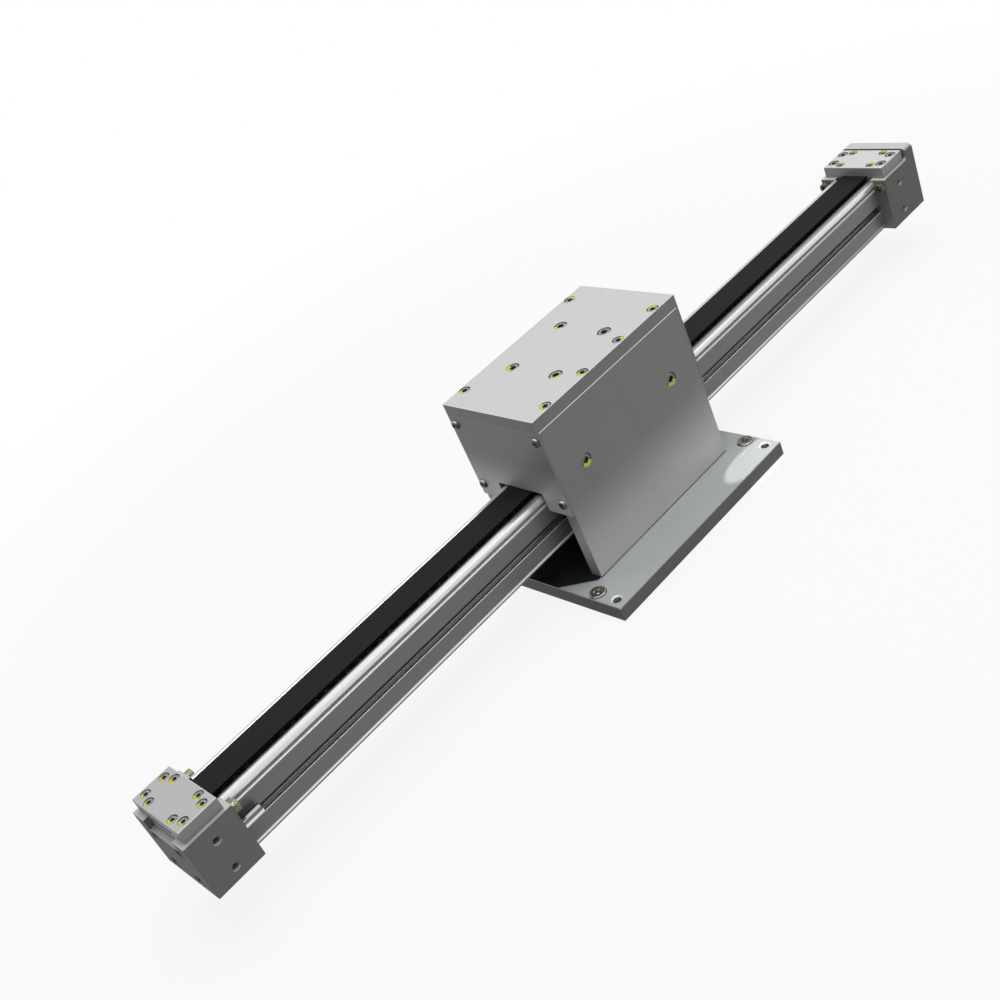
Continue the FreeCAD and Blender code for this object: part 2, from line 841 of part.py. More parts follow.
def drive_bracket(side):
    """Plate hung from the top plate that holds one bearing of the drive shaft."""
    y0 = min(side * bracket_inner, side * bracket_outer)
    bottom = carrier_top + bracket_foot_gap
    plate = block(-bracket_half, bracket_half, y0, y0 + bracket_thickness, bottom, side_top)
    tools = []
    seat_y = min(side * bracket_inner, side * (bracket_inner + bearing_width))
    tools.append(rod_y(bearing_radius, seat_y, seat_y + bearing_width, 0, pulley_z))
    clear = drive_shaft_radius + bracket_shaft_gap
    tools.append(rod_y(clear, y0 - overcut, y0 + bracket_thickness + overcut, 0, pulley_z))
    low = side_top - top_screw_bite - screw_tip_gap
    for x, y in top_inner_places():
        if y * side > 0:
            tools.append(rod_z(screw_m6[0] + thread_play, low, side_top + overcut, x, y))
    return cut_all(plate, tools)


def bearing_pair(inner, outer, width, inside_face, x, z):
    """Two sealed ball bearings about Y, as plain rings outside the faces at y = inside_face."""
    rings = []
    for side in (-1, 1):
        outline = [(inner, 0), (outer, 0), (outer, width), (inner, width)]
        points = [(r, side * (inside_face + h)) for r, h in outline]
        rings.append(ring_profile(points, "y", Vector(x, 0, z)))
    return group(rings)


def drive_bearings():
    inner = drive_shaft_radius + running_fit
    return bearing_pair(inner, bearing_radius, bearing_width, bracket_inner, 0, pulley_z)


def drive_shaft():
    left_end = inside_half - shaft_end_play
    shaft = rod_y(drive_shaft_radius, -bracket_outer, left_end, 0, pulley_z)
    low = left_end - drive_bore_depth
    high = left_end + overcut
    bore = rod_y(drive_bore_radius, low, high, 0, pulley_z)
    key_top = pulley_z + drive_bore_radius + key_height
    keyway = block(-key_width / 2, key_width / 2, low, high, pulley_z, key_top)
    return shaft.cut(bore).cut(keyway)


def drive_pulley():
    """Toothed pulley: a tip arc, a flank, a straight root and a flank for each tooth."""
    pitch_angle = 2 * math.pi / pulley_teeth
    mouth = belt_tooth_root / 2 + pulley_groove_play
    floor = belt_tooth_tip / 2 + pulley_groove_play
    mouth_angle = math.asin(mouth / tip_radius)
    root_radius = tip_radius - belt_tooth_height - pulley_groove_play
    y = -pulley_width / 2

    def at(radius, angle, across=0.0):
        x = radius * math.sin(angle) + across * math.cos(angle)
        z = radius * math.cos(angle) - across * math.sin(angle)
        return Vector(x, y, pulley_z + z)

    edges = []
    for index in range(pulley_teeth):
        gap = index * pitch_angle
        following = gap + pitch_angle
        start = at(tip_radius, gap - mouth_angle)
        low_start = at(root_radius, gap, -floor)
        low_end = at(root_radius, gap, floor)
        end = at(tip_radius, gap + mouth_angle)
        next_start = at(tip_radius, following - mouth_angle)
        edges.append(line(start, low_start))
        edges.append(line(low_start, low_end))
        edges.append(line(low_end, end))
        edges.append(arc(end, at(tip_radius, gap + pitch_angle / 2), next_start))
    body = Part.Face(Part.Wire(edges)).extrude(Vector(0, pulley_width, 0))
    return body.cut(rod_y(drive_shaft_radius, y - overcut, -y + overcut, 0, pulley_z))


def pulley_flanges():
    flanges = []
    for side in (-1, 1):
        outline = [
            (drive_shaft_radius, 0),
            (flange_radius, 0),
            (flange_radius, flange_thickness - flange_chamfer),
            (flange_radius - flange_chamfer, flange_thickness),
            (drive_shaft_radius, flange_thickness),
        ]
        points = [(r, side * (pulley_width / 2 + h)) for r, h in outline]
        flanges.append(ring_profile(points, "y", Vector(0, 0, pulley_z)))
    return group(flanges)


def idler_roller(x):
    """Flanged idler with a seat for a bearing at each end."""
    half = idler_width / 2
    flange_face = half + flange_thickness
    rib = half - idler_bearing_width
    outline = [
        (idler_bearing_radius, flange_face),
        (idler_flange_radius, flange_face),
        (idler_flange_radius, half + idler_flange_taper),
        (idler_radius, half),
        (idler_radius, -half),
        (idler_flange_radius, -half - idler_flange_taper),
        (idler_flange_radius, -flange_face),
        (idler_bearing_radius, -flange_face),
        (idler_bearing_radius, -rib),
        (idler_rib_radius, -rib),
        (idler_rib_radius, rib),
        (idler_bearing_radius, rib),
    ]
    return ring_profile(outline, "y", Vector(x, 0, idler_z))


def idler_bearings(x):
    inner = idler_axle_radius + running_fit
    rib = idler_width / 2 - idler_bearing_width
    return bearing_pair(inner, idler_bearing_radius, idler_bearing_width, rib, x, idler_z)


def idler_axle(x):
    end = inside_half - axle_end_play
    axle = rod_y(idler_axle_radius, -end, end, x, idler_z)
    radius = screw_m6[0] + thread_play
    tools = [
        rod_y(radius, -end - overcut, -end + axle_thread_depth, x, idler_z),
        rod_y(radius, end - axle_thread_depth, end + overcut, x, idler_z),
    ]
    return cut_all(axle, tools)


def idler_sleeves():
    """Sleeves that keep each idler's bearings in the middle of its axle."""
    start = idler_width / 2 + stud_play
    end = inside_half - carrier_wall
    sleeves = []
    for x in (-idler_x, idler_x):
        for side in (-1, 1):
            outline = [
                (idler_axle_radius + thread_play, start),
                (idler_sleeve_radius, start),
                (idler_sleeve_radius, end),
                (idler_axle_radius + thread_play, end),
            ]
            points = [(r, side * h) for r, h in outline]
            sleeves.append(ring_profile(points, "y", Vector(x, 0, idler_z)))
    return group(sleeves)


def roller_carrier(side):
    """Angle bar beside the beam, with an upright ear at each idler axle."""
    inner = inside_half - carrier_inset
    wall = inside_half - carrier_wall

    def strip(x0, x1, y0, y1, z0, z1):
        return block(x0, x1, min(side * y0, side * y1), max(side * y0, side * y1), z0, z1)

    ear_start = idler_x - ear_lead
    bar = strip(-carrier_half, carrier_half, inner, inside_half, carrier_floor, carrier_top)
    bar = bar.fuse(strip(ear_start, carrier_half, wall, inside_half, carrier_floor, ear_top))
    bar = bar.fuse(strip(-carrier_half, -ear_start, wall, inside_half, carrier_floor, ear_top))
    bar = bar.removeSplitter()
    tools = []
    for x in (-idler_x, idler_x):
        span = sorted((side * (wall - overcut), side * (inside_half + overcut)))
        tools.append(rod_y(idler_axle_radius + thread_play, span[0], span[1], x, idler_z))
    bore = stud_radius + thread_play
    y = side * roller_y
    for x in (-roller_x, roller_x):
        tools.append(rod_z(bore, carrier_floor - overcut, carrier_top + overcut, x, y))
    return cut_all(bar, tools)


def roller_studs():
    """Studs with a low head under each roller and a collar above it."""
    low = shaft_z - roller_half_width - stud_play
    high = shaft_z + roller_half_width + stud_play
    tip = carrier_top + nut_height + stud_tip
    studs = []
    for x in (-roller_x, roller_x):
        for y in (-roller_y, roller_y):
            stud = rod_z(stud_radius, low - overcut, tip, x, y)
            stud = stud.fuse(rod_z(stud_head_radius, low - stud_head_height, low, x, y))
            stud = stud.fuse(rod_z(stud_collar_radius, high, carrier_floor, x, y))
            studs.append(stud.removeSplitter())
    return group(studs)


def roller_nuts():
    reach = nut_flats / 2 / math.cos(math.pi / 6)
    bore = stud_radius + thread_play
    nut_top = carrier_top + nut_height
    nuts = []
    for x in (-roller_x, roller_x):
        for y in (-roller_y, roller_y):
            corners = []
            for index in range(6):
                angle = index * math.pi / 3
                corner = Vector(reach * math.cos(angle), reach * math.sin(angle), 0)
                corners.append(corner + Vector(x, y, carrier_top))
            nut = face_of(corners).extrude(Vector(0, 0, nut_height))
            nuts.append(nut.cut(rod_z(bore, carrier_top - overcut, nut_top + overcut, x, y)))
    return group(nuts)


def guide_roller(x, y):
    """Track roller turning about Z; its groove's floor and two flanks clear the shaft alike."""
    reach = roller_rolling_radius + shaft_radius
    groove = shaft_radius + roller_gap
    half = roller_half_width
    mouth = half - roller_rim_flat
    floor_radius = reach - groove
    floor_half = groove * math.tan(math.pi / 8)
    rim_radius = reach - groove * math.sqrt(2) + mouth
    outline = [
        (roller_bore_radius, -half),
        (rim_radius, -half),
        (rim_radius, -mouth),
        (floor_radius, -floor_half),
        (floor_radius, floor_half),
        (rim_radius, mouth),
        (rim_radius, half),
        (roller_bore_radius, half),
    ]
    return ring_profile(outline, "z", Vector(x, y, shaft_z))


def belt_loop():
    """Belt from idler to idler over the pulley, without teeth, clear of the straight run."""
    idler_back = idler_radius + belt_gap
    idler_teeth = idler_back + belt_back
    pulley_teeth_side = tip_radius + belt_gap
    pulley_back = pulley_teeth_side + belt_back
    reach = math.hypot(idler_x, pulley_z - idler_z)
    lean = math.atan2(pulley_z - idler_z, idler_x)
    leave = lean + math.asin((idler_back + pulley_back) / reach)
    start = math.acos((idler_z - belt_top - belt_gap) / idler_teeth)
    y = -belt_width / 2

    def on_idler(radius, angle, side):
        return Vector(side * (-idler_x + radius * math.sin(angle)), y, idler_z - radius * math.cos(angle))

    def on_pulley(radius, side):
        return Vector(-side * radius * math.sin(leave), y, pulley_z + radius * math.cos(leave))

    def bend(radius, side):
        middle = (start + leave) / 2
        return on_idler(radius, start, side), on_idler(radius, middle, side), on_idler(radius, leave, side)

    edges = []
    sides = []
    for idler_r, pulley_r in ((idler_back, pulley_back), (idler_teeth, pulley_teeth_side)):
        near = bend(idler_r, 1)
        far = bend(idler_r, -1)
        edges.append(arc(*near))
        edges.append(line(near[2], on_pulley(pulley_r, 1)))
        edges.append(arc(on_pulley(pulley_r, 1), Vector(0, y, pulley_z + pulley_r), on_pulley(pulley_r, -1)))
        edges.append(line(on_pulley(pulley_r, -1), far[2]))
        edges.append(arc(*far))
        sides.append((near[0], far[0]))
    edges.append(line(sides[0][0], sides[1][0]))
    edges.append(line(sides[0][1], sides[1][1]))
    outline = Part.Wire(Part.__sortEdges__(edges))
    return Part.Face(outline).extrude(Vector(0, belt_width, 0))


parts = {
    "base_plate": base_plate(),
    "side_plate_right": side_plate(-1, False),
    "side_plate_left": side_plate(1, True),
    "top_plate": top_plate(),
    "end_cover_near": end_cover(-1),
    "end_cover_far": end_cover(1),
    "drive_bracket_right": drive_bracket(-1),
    "drive_bracket_left": drive_bracket(1),
    "drive_bearings": drive_bearings(),
    "roller_carrier_right": roller_carrier(-1),
    "roller_carrier_left": roller_carrier(1),
    "roller_studs": roller_studs(),
    "roller_nuts": roller_nuts(),
    "idler_axle_near": idler_axle(-idler_x),
    "idler_axle_far": idler_axle(idler_x),
    "idler_sleeves": idler_sleeves(),
    "belt_loop": belt_loop(),
    "top_edge_screws": top_screws(screw_m5, top_edge_places()),
    "top_inner_screws": top_screws(screw_m6, top_inner_places()),
    "side_screws": side_screws(),
    "cover_screws": cover_screws(),
    "base_screws": base_screws(),
    "foot_screws": foot_screws(),
    "drive_shaft": drive_shaft(),
    "drive_pulley": drive_pulley(),
    "pulley_flanges": pulley_flanges(),
    "idler_roller_near": idler_roller(-idler_x),
    "idler_bearings_near": idler_bearings(-idler_x),
    "idler_roller_far": idler_roller(idler_x),
    "idler_bearings_far": idler_bearings(idler_x),
    "guide_roller_near_right": guide_roller(-roller_x, -roller_y),
    "guide_roller_near_left": guide_roller(-roller_x, roller_y),
    "guide_roller_far_right": guide_roller(roller_x, -roller_y),
    "guide_roller_far_left": guide_roller(roller_x, roller_y),
    "beam_profile": beam_profile(),
    "guide_shaft_right": guide_shaft(-shaft_y),
    "guide_shaft_left": guide_shaft(shaft_y),
    "belt_run": belt_run(),
    "end_block_near": end_block_near(),
    "end_block_far": end_block_far(),
    "tooth_plate_near": tooth_plate(near_clamp),
    "tooth_plate_far": tooth_plate(far_clamp),
    "clamp_plate_near": clamp_plate(near_clamp, screw_m4),
    "clamp_plate_far": clamp_plate(far_clamp, screw_m5),
    "clamp_screws_near": clamp_screws(near_clamp, screw_m4),
    "clamp_screws_far": clamp_screws(far_clamp, screw_m5),
    "tension_screws": tension_screws(),
    "end_screws_near": end_screws(near_face, -1),
    "end_screws_far": end_screws(far_face, 1),
    "stop_pin": stop_pin(),
}

os.makedirs("parts", exist_ok=True)
for name, shape in parts.items():
    shape.exportStep("parts/" + name + ".step")
print(len(parts), "parts written")
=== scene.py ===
import json
import math

import bmesh
import bpy
from mathutils import Matrix, Vector


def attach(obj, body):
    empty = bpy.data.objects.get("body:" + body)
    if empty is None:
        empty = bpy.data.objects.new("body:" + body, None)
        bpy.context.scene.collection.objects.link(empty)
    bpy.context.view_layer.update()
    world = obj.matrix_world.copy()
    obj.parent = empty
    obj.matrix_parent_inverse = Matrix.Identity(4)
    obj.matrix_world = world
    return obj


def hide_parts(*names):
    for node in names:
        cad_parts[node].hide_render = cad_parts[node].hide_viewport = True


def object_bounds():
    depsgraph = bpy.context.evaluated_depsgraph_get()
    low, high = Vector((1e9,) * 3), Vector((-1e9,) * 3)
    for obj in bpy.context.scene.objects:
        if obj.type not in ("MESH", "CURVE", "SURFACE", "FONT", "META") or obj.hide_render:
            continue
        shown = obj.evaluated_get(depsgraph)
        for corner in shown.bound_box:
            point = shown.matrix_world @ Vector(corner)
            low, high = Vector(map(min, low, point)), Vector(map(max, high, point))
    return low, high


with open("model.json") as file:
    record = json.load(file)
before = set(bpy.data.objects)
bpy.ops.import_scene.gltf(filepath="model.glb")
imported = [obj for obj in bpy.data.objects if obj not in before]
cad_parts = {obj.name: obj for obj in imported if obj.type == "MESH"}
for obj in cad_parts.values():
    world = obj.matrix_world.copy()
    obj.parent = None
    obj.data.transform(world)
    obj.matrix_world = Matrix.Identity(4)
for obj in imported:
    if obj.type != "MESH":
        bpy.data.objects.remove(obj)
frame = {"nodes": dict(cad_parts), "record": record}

mm = 0.001
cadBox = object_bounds()
record = frame["record"]
bodyOf = {node: body for body, nodes in record["behaviour"]["bodies"].items() for node in nodes}
slotOf = {part["node"]: part["material_slot"] for part in record["subparts"]}
mounts = {mount["name"]: mount for mount in record["mounts"]}
print("frame loaded:", len(frame["nodes"]), "nodes")


# Wires and benches: shader and geometry trees written as Python expressions

class Wire:
    # one output of a node; the operators add Math nodes behind it
    def __init__(self, bench, socket):
        self.bench = bench
        self.socket = socket

    def __add__(self, other):
        return self.bench.maths("ADD", self, other)

    def __sub__(self, other):
        return self.bench.maths("SUBTRACT", self, other)

    def __mul__(self, other):
        return self.bench.maths("MULTIPLY", self, other)

    def __truediv__(self, other):
        return self.bench.maths("DIVIDE", self, other)

    def __rsub__(self, other):
        return self.bench.maths("SUBTRACT", other, self)

    def __abs__(self):
        return self.bench.maths("ABSOLUTE", self)

    __rmul__ = __mul__

    def out(self, name):
        return Wire(self.bench, self.socket.node.outputs[name])

    def brightness(self):
        return self.bench.add("ShaderNodeRGBToBW", None, {0: self})

    def swing(self):
        # a noise's value above or below its middle
        return self - 0.5

    def step(self, low, high):
        # 0 below low, 1 above high, smooth between them
        return self.bench.add(
            "ShaderNodeMapRange",
            {"interpolation_type": "SMOOTHSTEP"},
            {"Value": self, "From Min": low, "From Max": high},
        )

    def past(self, limit, blur):
        # 0 up to blur before the limit, 1 from the limit on
        return self.step(limit - blur, limit)


class Bench:
    # adds nodes to one tree: node type, settings, then the values or links of its sockets
    def __init__(self, tree):
        self.tree = tree

    def add(self, kind, settings=None, values=None):
        node = self.tree.nodes.new(kind)
        for key, value in (settings or {}).items():
            setattr(node, key, value)
        for key, value in (values or {}).items():
            self.feed(node.inputs[key], value)
        return Wire(self, node.outputs[0]) if node.outputs else node

    def feed(self, socket, value):
        if isinstance(value, Wire):
            self.tree.links.new(value.socket, socket)
        else:
            socket.default_value = value

    def maths(self, operation, *values):
        return self.add("ShaderNodeMath", {"operation": operation}, dict(enumerate(values)))

    def mixColour(self, factor, first, second):
        # sockets 6 and 7 are the colours, and output 2 is the mixed one
        mixed = self.add("ShaderNodeMix", {"data_type": "RGBA"}, {0: factor, 6: first, 7: second})
        return Wire(self, mixed.socket.node.outputs[2])

    def noise(self, place, scale, detail=2.0, roughness=0.5):
        return self.add(
            "ShaderNodeTexNoise",
            None,
            {"Vector": place, "Scale": scale, "Detail": detail, "Roughness": roughness},
        )

    def bump(self, strength, depth, height):
        values = {"Strength": strength, "Distance": depth, "Height": height}
        return self.add("ShaderNodeBump", None, values)


def grey(level):
    return (level, level, level)


def opaque(colour):
    return colour + (1.0,)


black = grey(0.0)
white = grey(1.0)


# Finishes

farAway = (9.0, 10.0)   # a range past every piece, in metres

metalFinishes = {
    # colour is that of level faces, upright that of upright ones, and end and side those of upright
    # faces that look along X and along Y; levelRange is how level a face is where the two change over;
    # these tones are painted light, set for how the light falls on faces that look each way
    # foot: upright faces from footFrom down to footTo, painted light that brightens them towards the
    # foot
    # seam shade: upright faces are black up to this height, painted shade where the plate meets the base
    # plate; brow: they have the edge's colour above this one, a painted highlight
    # skirt: they have the edge's colour between these heights, a painted highlight, and skirtFoot below,
    # painted shade
    # edge: straight broken edges where they look up, painted light that is duller along X within fade;
    # rim: the rims of holes where they look up, painted light too
    # hollow: painted shade on level faces under hollowTop and no farther than hollowWithin from the
    # middle plane; the other level faces under hollowTop have the edge's colour, a painted highlight
    # covered: a patch that its neighbours shade; it fades out within across and along, is cut slanting
    # by slope, moved back along X by shift and begins at the height above
    # the fine grain is drawn out by stretch; cloud and smudge are how much the clouds and smears show
    "topPlateSatin": {
        "colour": (0.52, 0.52, 0.522), "upright": (0.160, 0.160, 0.157), "edge": grey(0.78),
        "metallic": 0.20, "roughness": 0.50, "stretch": (1.0, 1.0, 1.0), "grainScale": 1500.0,
        "grainDepth": 0.012 * mm, "cloudScale": 14.0, "cloud": 0.04, "smudge": 0.04,
    },
    "sidePlateSatin": {
        "colour": grey(0.50), "upright": (0.168, 0.168, 0.165), "edge": grey(0.90),
        "foot": (0.62, 0.625, 0.62), "footFrom": 88.0 * mm, "footTo": -8.0 * mm,
        "end": (0.26, 0.26, 0.255), "seamShade": 12.9 * mm, "brow": cadBox[1].z - 10.6 * mm,
        "metallic": 0.30, "roughness": 0.44, "stretch": (1.0, 1.0, 0.25), "grainScale": 1300.0,
        "grainDepth": 0.012 * mm, "cloudScale": 22.0, "cloud": 0.09, "smudge": 0.08,
    },
    "coverSheet": {
        "colour": grey(0.40), "upright": (0.18, 0.18, 0.182), "edge": grey(0.55),
        "foot": grey(0.42), "footFrom": 118.0 * mm, "footTo": 78.0 * mm,
        "side": (0.15, 0.15, 0.148),
        "metallic": 0.25, "roughness": 0.50, "stretch": (1.0, 1.0, 0.3), "grainScale": 1500.0,
        "grainDepth": 0.010 * mm, "cloudScale": 26.0, "cloud": 0.07, "smudge": 0.06,
    },
    "basePlateGround": {
        "colour": (0.50, 0.522, 0.526), "upright": (0.108, 0.108, 0.105), "edge": (0.30, 0.31, 0.32),
        "rim": (0.95, 0.95, 0.93), "end": grey(0.012), "gloss": 0.2,
        "covered": {
            "across": (46.5 * mm, 47.5 * mm), "along": (101.0 * mm, 103.5 * mm), "shift": 12.0 * mm,
            "slope": 0.70, "above": 0.0, "colour": (0.02, 0.022, 0.022),
        },
        "metallic": 0.15, "roughness": 0.14, "stretch": (0.3, 1.0, 1.0), "grainScale": 900.0,
        "grainDepth": 0.002 * mm, "cloudScale": 18.0, "cloud": 0.08, "smudge": 0.06,
    },
    "beamExtrusion": {
        "colour": grey(0.50), "upright": grey(0.155), "edge": grey(0.95),
        "skirt": (40.5 * mm, 42.5 * mm), "skirtFoot": grey(0.03),
        "hollow": grey(0.05), "hollowTop": 74.0 * mm, "hollowWithin": 21.7 * mm,
        "fade": (0.08, 0.38),
        "covered": {
            "across": (12.9 * mm, 13.4 * mm), "along": farAway, "above": 80.0 * mm,
            "colour": grey(0.02),
        },
        "metallic": 0.30, "roughness": 0.38, "stretch": (0.012, 1.0, 1.0), "grainScale": 1100.0,
        "grainDepth": 0.010 * mm, "cloudScale": 9.0, "cloud": 0.05, "smudge": 0.04,
    },
    "blockMilled": {
        "colour": grey(0.52), "upright": (0.155, 0.155, 0.15), "edge": grey(0.92),
        "rim": grey(0.38), "end": grey(0.03), "gloss": 0.05,
        "metallic": 0.25, "roughness": 0.44, "stretch": (0.2, 1.0, 1.0), "grainScale": 1400.0,
        "grainDepth": 0.012 * mm, "cloudScale": 30.0, "cloud": 0.08, "smudge": 0.07,
    },
    "clampSatin": {
        "colour": (0.435, 0.431, 0.435), "upright": (0.24, 0.24, 0.235), "edge": grey(0.60),
        "metallic": 0.20, "roughness": 0.48, "stretch": (1.0, 0.3, 1.0), "grainScale": 1500.0,
        "grainDepth": 0.012 * mm, "cloudScale": 30.0, "cloud": 0.05, "smudge": 0.05,
    },
    "innerAluminium": {
        "colour": (0.30, 0.30, 0.31), "upright": grey(0.24), "edge": grey(0.45),
        "metallic": 0.40, "roughness": 0.42, "stretch": (1.0, 1.0, 1.0), "grainScale": 1200.0,
        "grainDepth": 0.012 * mm, "cloudScale": 25.0, "cloud": 0.06, "smudge": 0.05,
    },
    # painted reflection: dark level faces, light upright ones; covered is painted shade next to the belt
    "polishedShaft": {
        "colour": (0.30, 0.30, 0.302), "upright": (0.82, 0.82, 0.825), "edge": grey(0.85),
        "levelRange": (0.60, 0.86),
        "covered": {
            "across": (17.3 * mm, 19.0 * mm), "along": farAway, "above": 0.0,
            "colour": (0.07, 0.07, 0.072),
        },
        "metallic": 0.55, "roughness": 0.24, "stretch": (1.0, 0.05, 0.05), "grainScale": 2500.0,
        "grainDepth": 0.002 * mm, "cloudScale": 40.0, "cloud": 0.03, "smudge": 0.04,
    },
    # painted reflection: dark level faces, light upright ones
    "pinSteel": {
        "colour": grey(0.14), "upright": grey(0.80), "edge": grey(0.85),
        "levelRange": (0.10, 0.42),
        "metallic": 1.0, "roughness": 0.20, "stretch": (1.0, 1.0, 1.0), "grainScale": 2500.0,
        "grainDepth": 0.002 * mm, "cloudScale": 40.0, "cloud": 0.05, "smudge": 0.04,
    },
    "bearingSteel": {
        "colour": (0.42, 0.42, 0.43), "upright": (0.40, 0.40, 0.41), "edge": grey(0.60),
        "metallic": 0.9, "roughness": 0.28, "stretch": (1.0, 1.0, 1.0), "grainScale": 2000.0,
        "grainDepth": 0.004 * mm, "cloudScale": 60.0, "cloud": 0.05, "smudge": 0.05,
    },
    "buttonSteel": {
        "colour": grey(0.45), "upright": grey(0.07), "edge": grey(0.40),
        "metallic": 0.9, "roughness": 0.24, "stretch": (1.0, 1.0, 1.0), "grainScale": 2000.0,
        "grainDepth": 0.004 * mm, "cloudScale": 200.0, "cloud": 0.08, "smudge": 0.05,
    },
    "darkScrewSteel": {
        "colour": (0.10, 0.10, 0.105), "upright": (0.09, 0.09, 0.095), "edge": grey(0.20),
        "metallic": 0.8, "roughness": 0.36, "stretch": (1.0, 1.0, 1.0), "grainScale": 2600.0,
        "grainDepth": 0.008 * mm, "cloudScale": 300.0, "cloud": 0.20, "smudge": 0.05,
    },
}

# The far block and its clamp plate are lit copies of the near ones, painted light: paler on their level
# faces, and the block darker on its upright faces and lighter on its ends
metalFinishes["farBlockMilled"] = {
    **metalFinishes["blockMilled"], "colour": grey(0.57), "upright": (0.125, 0.125, 0.12),
    "end": (0.18, 0.18, 0.17),
}
metalFinishes["farClampSatin"] = {**metalFinishes["clampSatin"], "colour": (0.61, 0.605, 0.61)}

# The left shaft catches the light that the belt keeps from the right one
metalFinishes["brightShaft"] = {
    **metalFinishes["polishedShaft"], "colour": grey(0.95), "upright": grey(0.92),
    "levelRange": (0.50, 0.80), "metallic": 0.45, "roughness": 0.22,
    "covered": {**metalFinishes["polishedShaft"]["covered"], "colour": grey(0.60)},
}

metalSettings = {
    # what all metals share; a noise is its detail and roughness, a range is where a step begins and ends
    "cloudNoise": (4.0, 0.55), "grainNoise": (3.0, 0.6), "smearNoise": (5.0, 0.7),
    "smearFiner": 3.1, "smearRange": (0.55, 0.78),
    "levelRange": (0.35, 0.9), "flankRange": (0.8, 0.95), "facingRange": (0.05, 0.6),
    "edgeRange": (0.0, 1.0), "rimRange": (1.2, 1.8),
    "lineBlur": 0.1 * mm, "skirtBlur": 0.2 * mm, "patchBlur": 1.0 * mm,
    "fadeShare": 0.75, "seamShadeShare": 0.9, "darkerShare": 0.5, "lighterShare": 0.35,
    "toneGain": 2.0, "grainTone": 0.08, "grainRoughness": 0.10, "bump": 0.6, "gloss": 0.5,
}


def uprightColour(bench, finish, spot, faceWay, fade):
    # the colour of upright faces, by the way they look and by their height: painted light, shade and
    # highlights
    height = spot.out("Z")
    colour = opaque(finish["upright"])
    # painted light that brightens upright faces towards the foot
    if "foot" in finish:
        low = 1.0 - height.step(finish["footTo"], finish["footFrom"])
        colour = bench.mixColour(low, colour, opaque(finish["foot"]))
    # painted light: upright faces that look along X and along Y take their own tones
    for key, axis in (("end", "X"), ("side", "Y")):
        if key in finish:
            flank = abs(faceWay.out(axis)).step(*metalSettings["flankRange"])
            colour = bench.mixColour(flank, colour, opaque(finish[key]))
    # painted shade: black along the foot, where the plate meets the base plate
    if "seamShade" in finish:
        low = 1.0 - height.past(finish["seamShade"], metalSettings["lineBlur"])
        colour = bench.mixColour(low * metalSettings["seamShadeShare"], colour, opaque(black))
    # painted highlight: a band in the edge's colour at the top
    if "brow" in finish:
        high = height.past(finish["brow"], metalSettings["lineBlur"])
        colour = bench.mixColour(high, colour, opaque(finish["edge"]))
    # painted highlight in a band, dimmed along X by fade, and painted shade below it
    if "skirt" in finish:
        skirtFrom, skirtTo = finish["skirt"]
        low = 1.0 - height.past(skirtTo, metalSettings["skirtBlur"])
        colour = bench.mixColour(low * fade, colour, opaque(finish["edge"]))
        low = 1.0 - height.past(skirtFrom, metalSettings["skirtBlur"])
        colour = bench.mixColour(low, colour, opaque(finish["skirtFoot"]))
    return colour


def coveredPatch(covered, spot):
    # 1 inside a shaded patch, 0 outside
    aside = abs(spot.out("Y"))
    reach = abs(spot.out("X") + covered.get("shift", 0.0))
    if "slope" in covered:
        reach = reach + aside * covered["slope"]
    inside = (1.0 - aside.step(*covered["across"])) * (1.0 - reach.step(*covered["along"]))
    return inside * spot.out("Z").past(covered["above"], metalSettings["patchBlur"])


def litWorkedColour(bench, finish, spot, faceWay, fade):
    # the colour of all faces but the broken edges, with painted light: level faces against upright ones,
    # painted highlights and shade under hollowTop and painted shade over covered patches
    levelRange = finish.get("levelRange", metalSettings["levelRange"])
    # painted light: level faces and upright ones take their own tones
    levelFace = abs(faceWay.out("Z")).step(*levelRange)
    upright = uprightColour(bench, finish, spot, faceWay, fade)
    worked = bench.mixColour(levelFace, upright, opaque(finish["colour"]))
    # painted highlight on level ledges under hollowTop, painted shade on those near the middle plane
    if "hollow" in finish:
        low = 1.0 - spot.out("Z").past(finish["hollowTop"], metalSettings["patchBlur"])
        ledge = low * faceWay.out("Z").step(*levelRange)
        worked = bench.mixColour(ledge, worked, opaque(finish["edge"]))
        deep = 1.0 - abs(spot.out("Y")).past(finish["hollowWithin"], metalSettings["lineBlur"])
        worked = bench.mixColour(ledge * deep, worked, opaque(finish["hollow"]))
    # painted shade over the covered patch
    if "covered" in finish:
        patch = coveredPatch(finish["covered"], spot)
        worked = bench.mixColour(patch, worked, opaque(finish["covered"]["colour"]))
    return worked


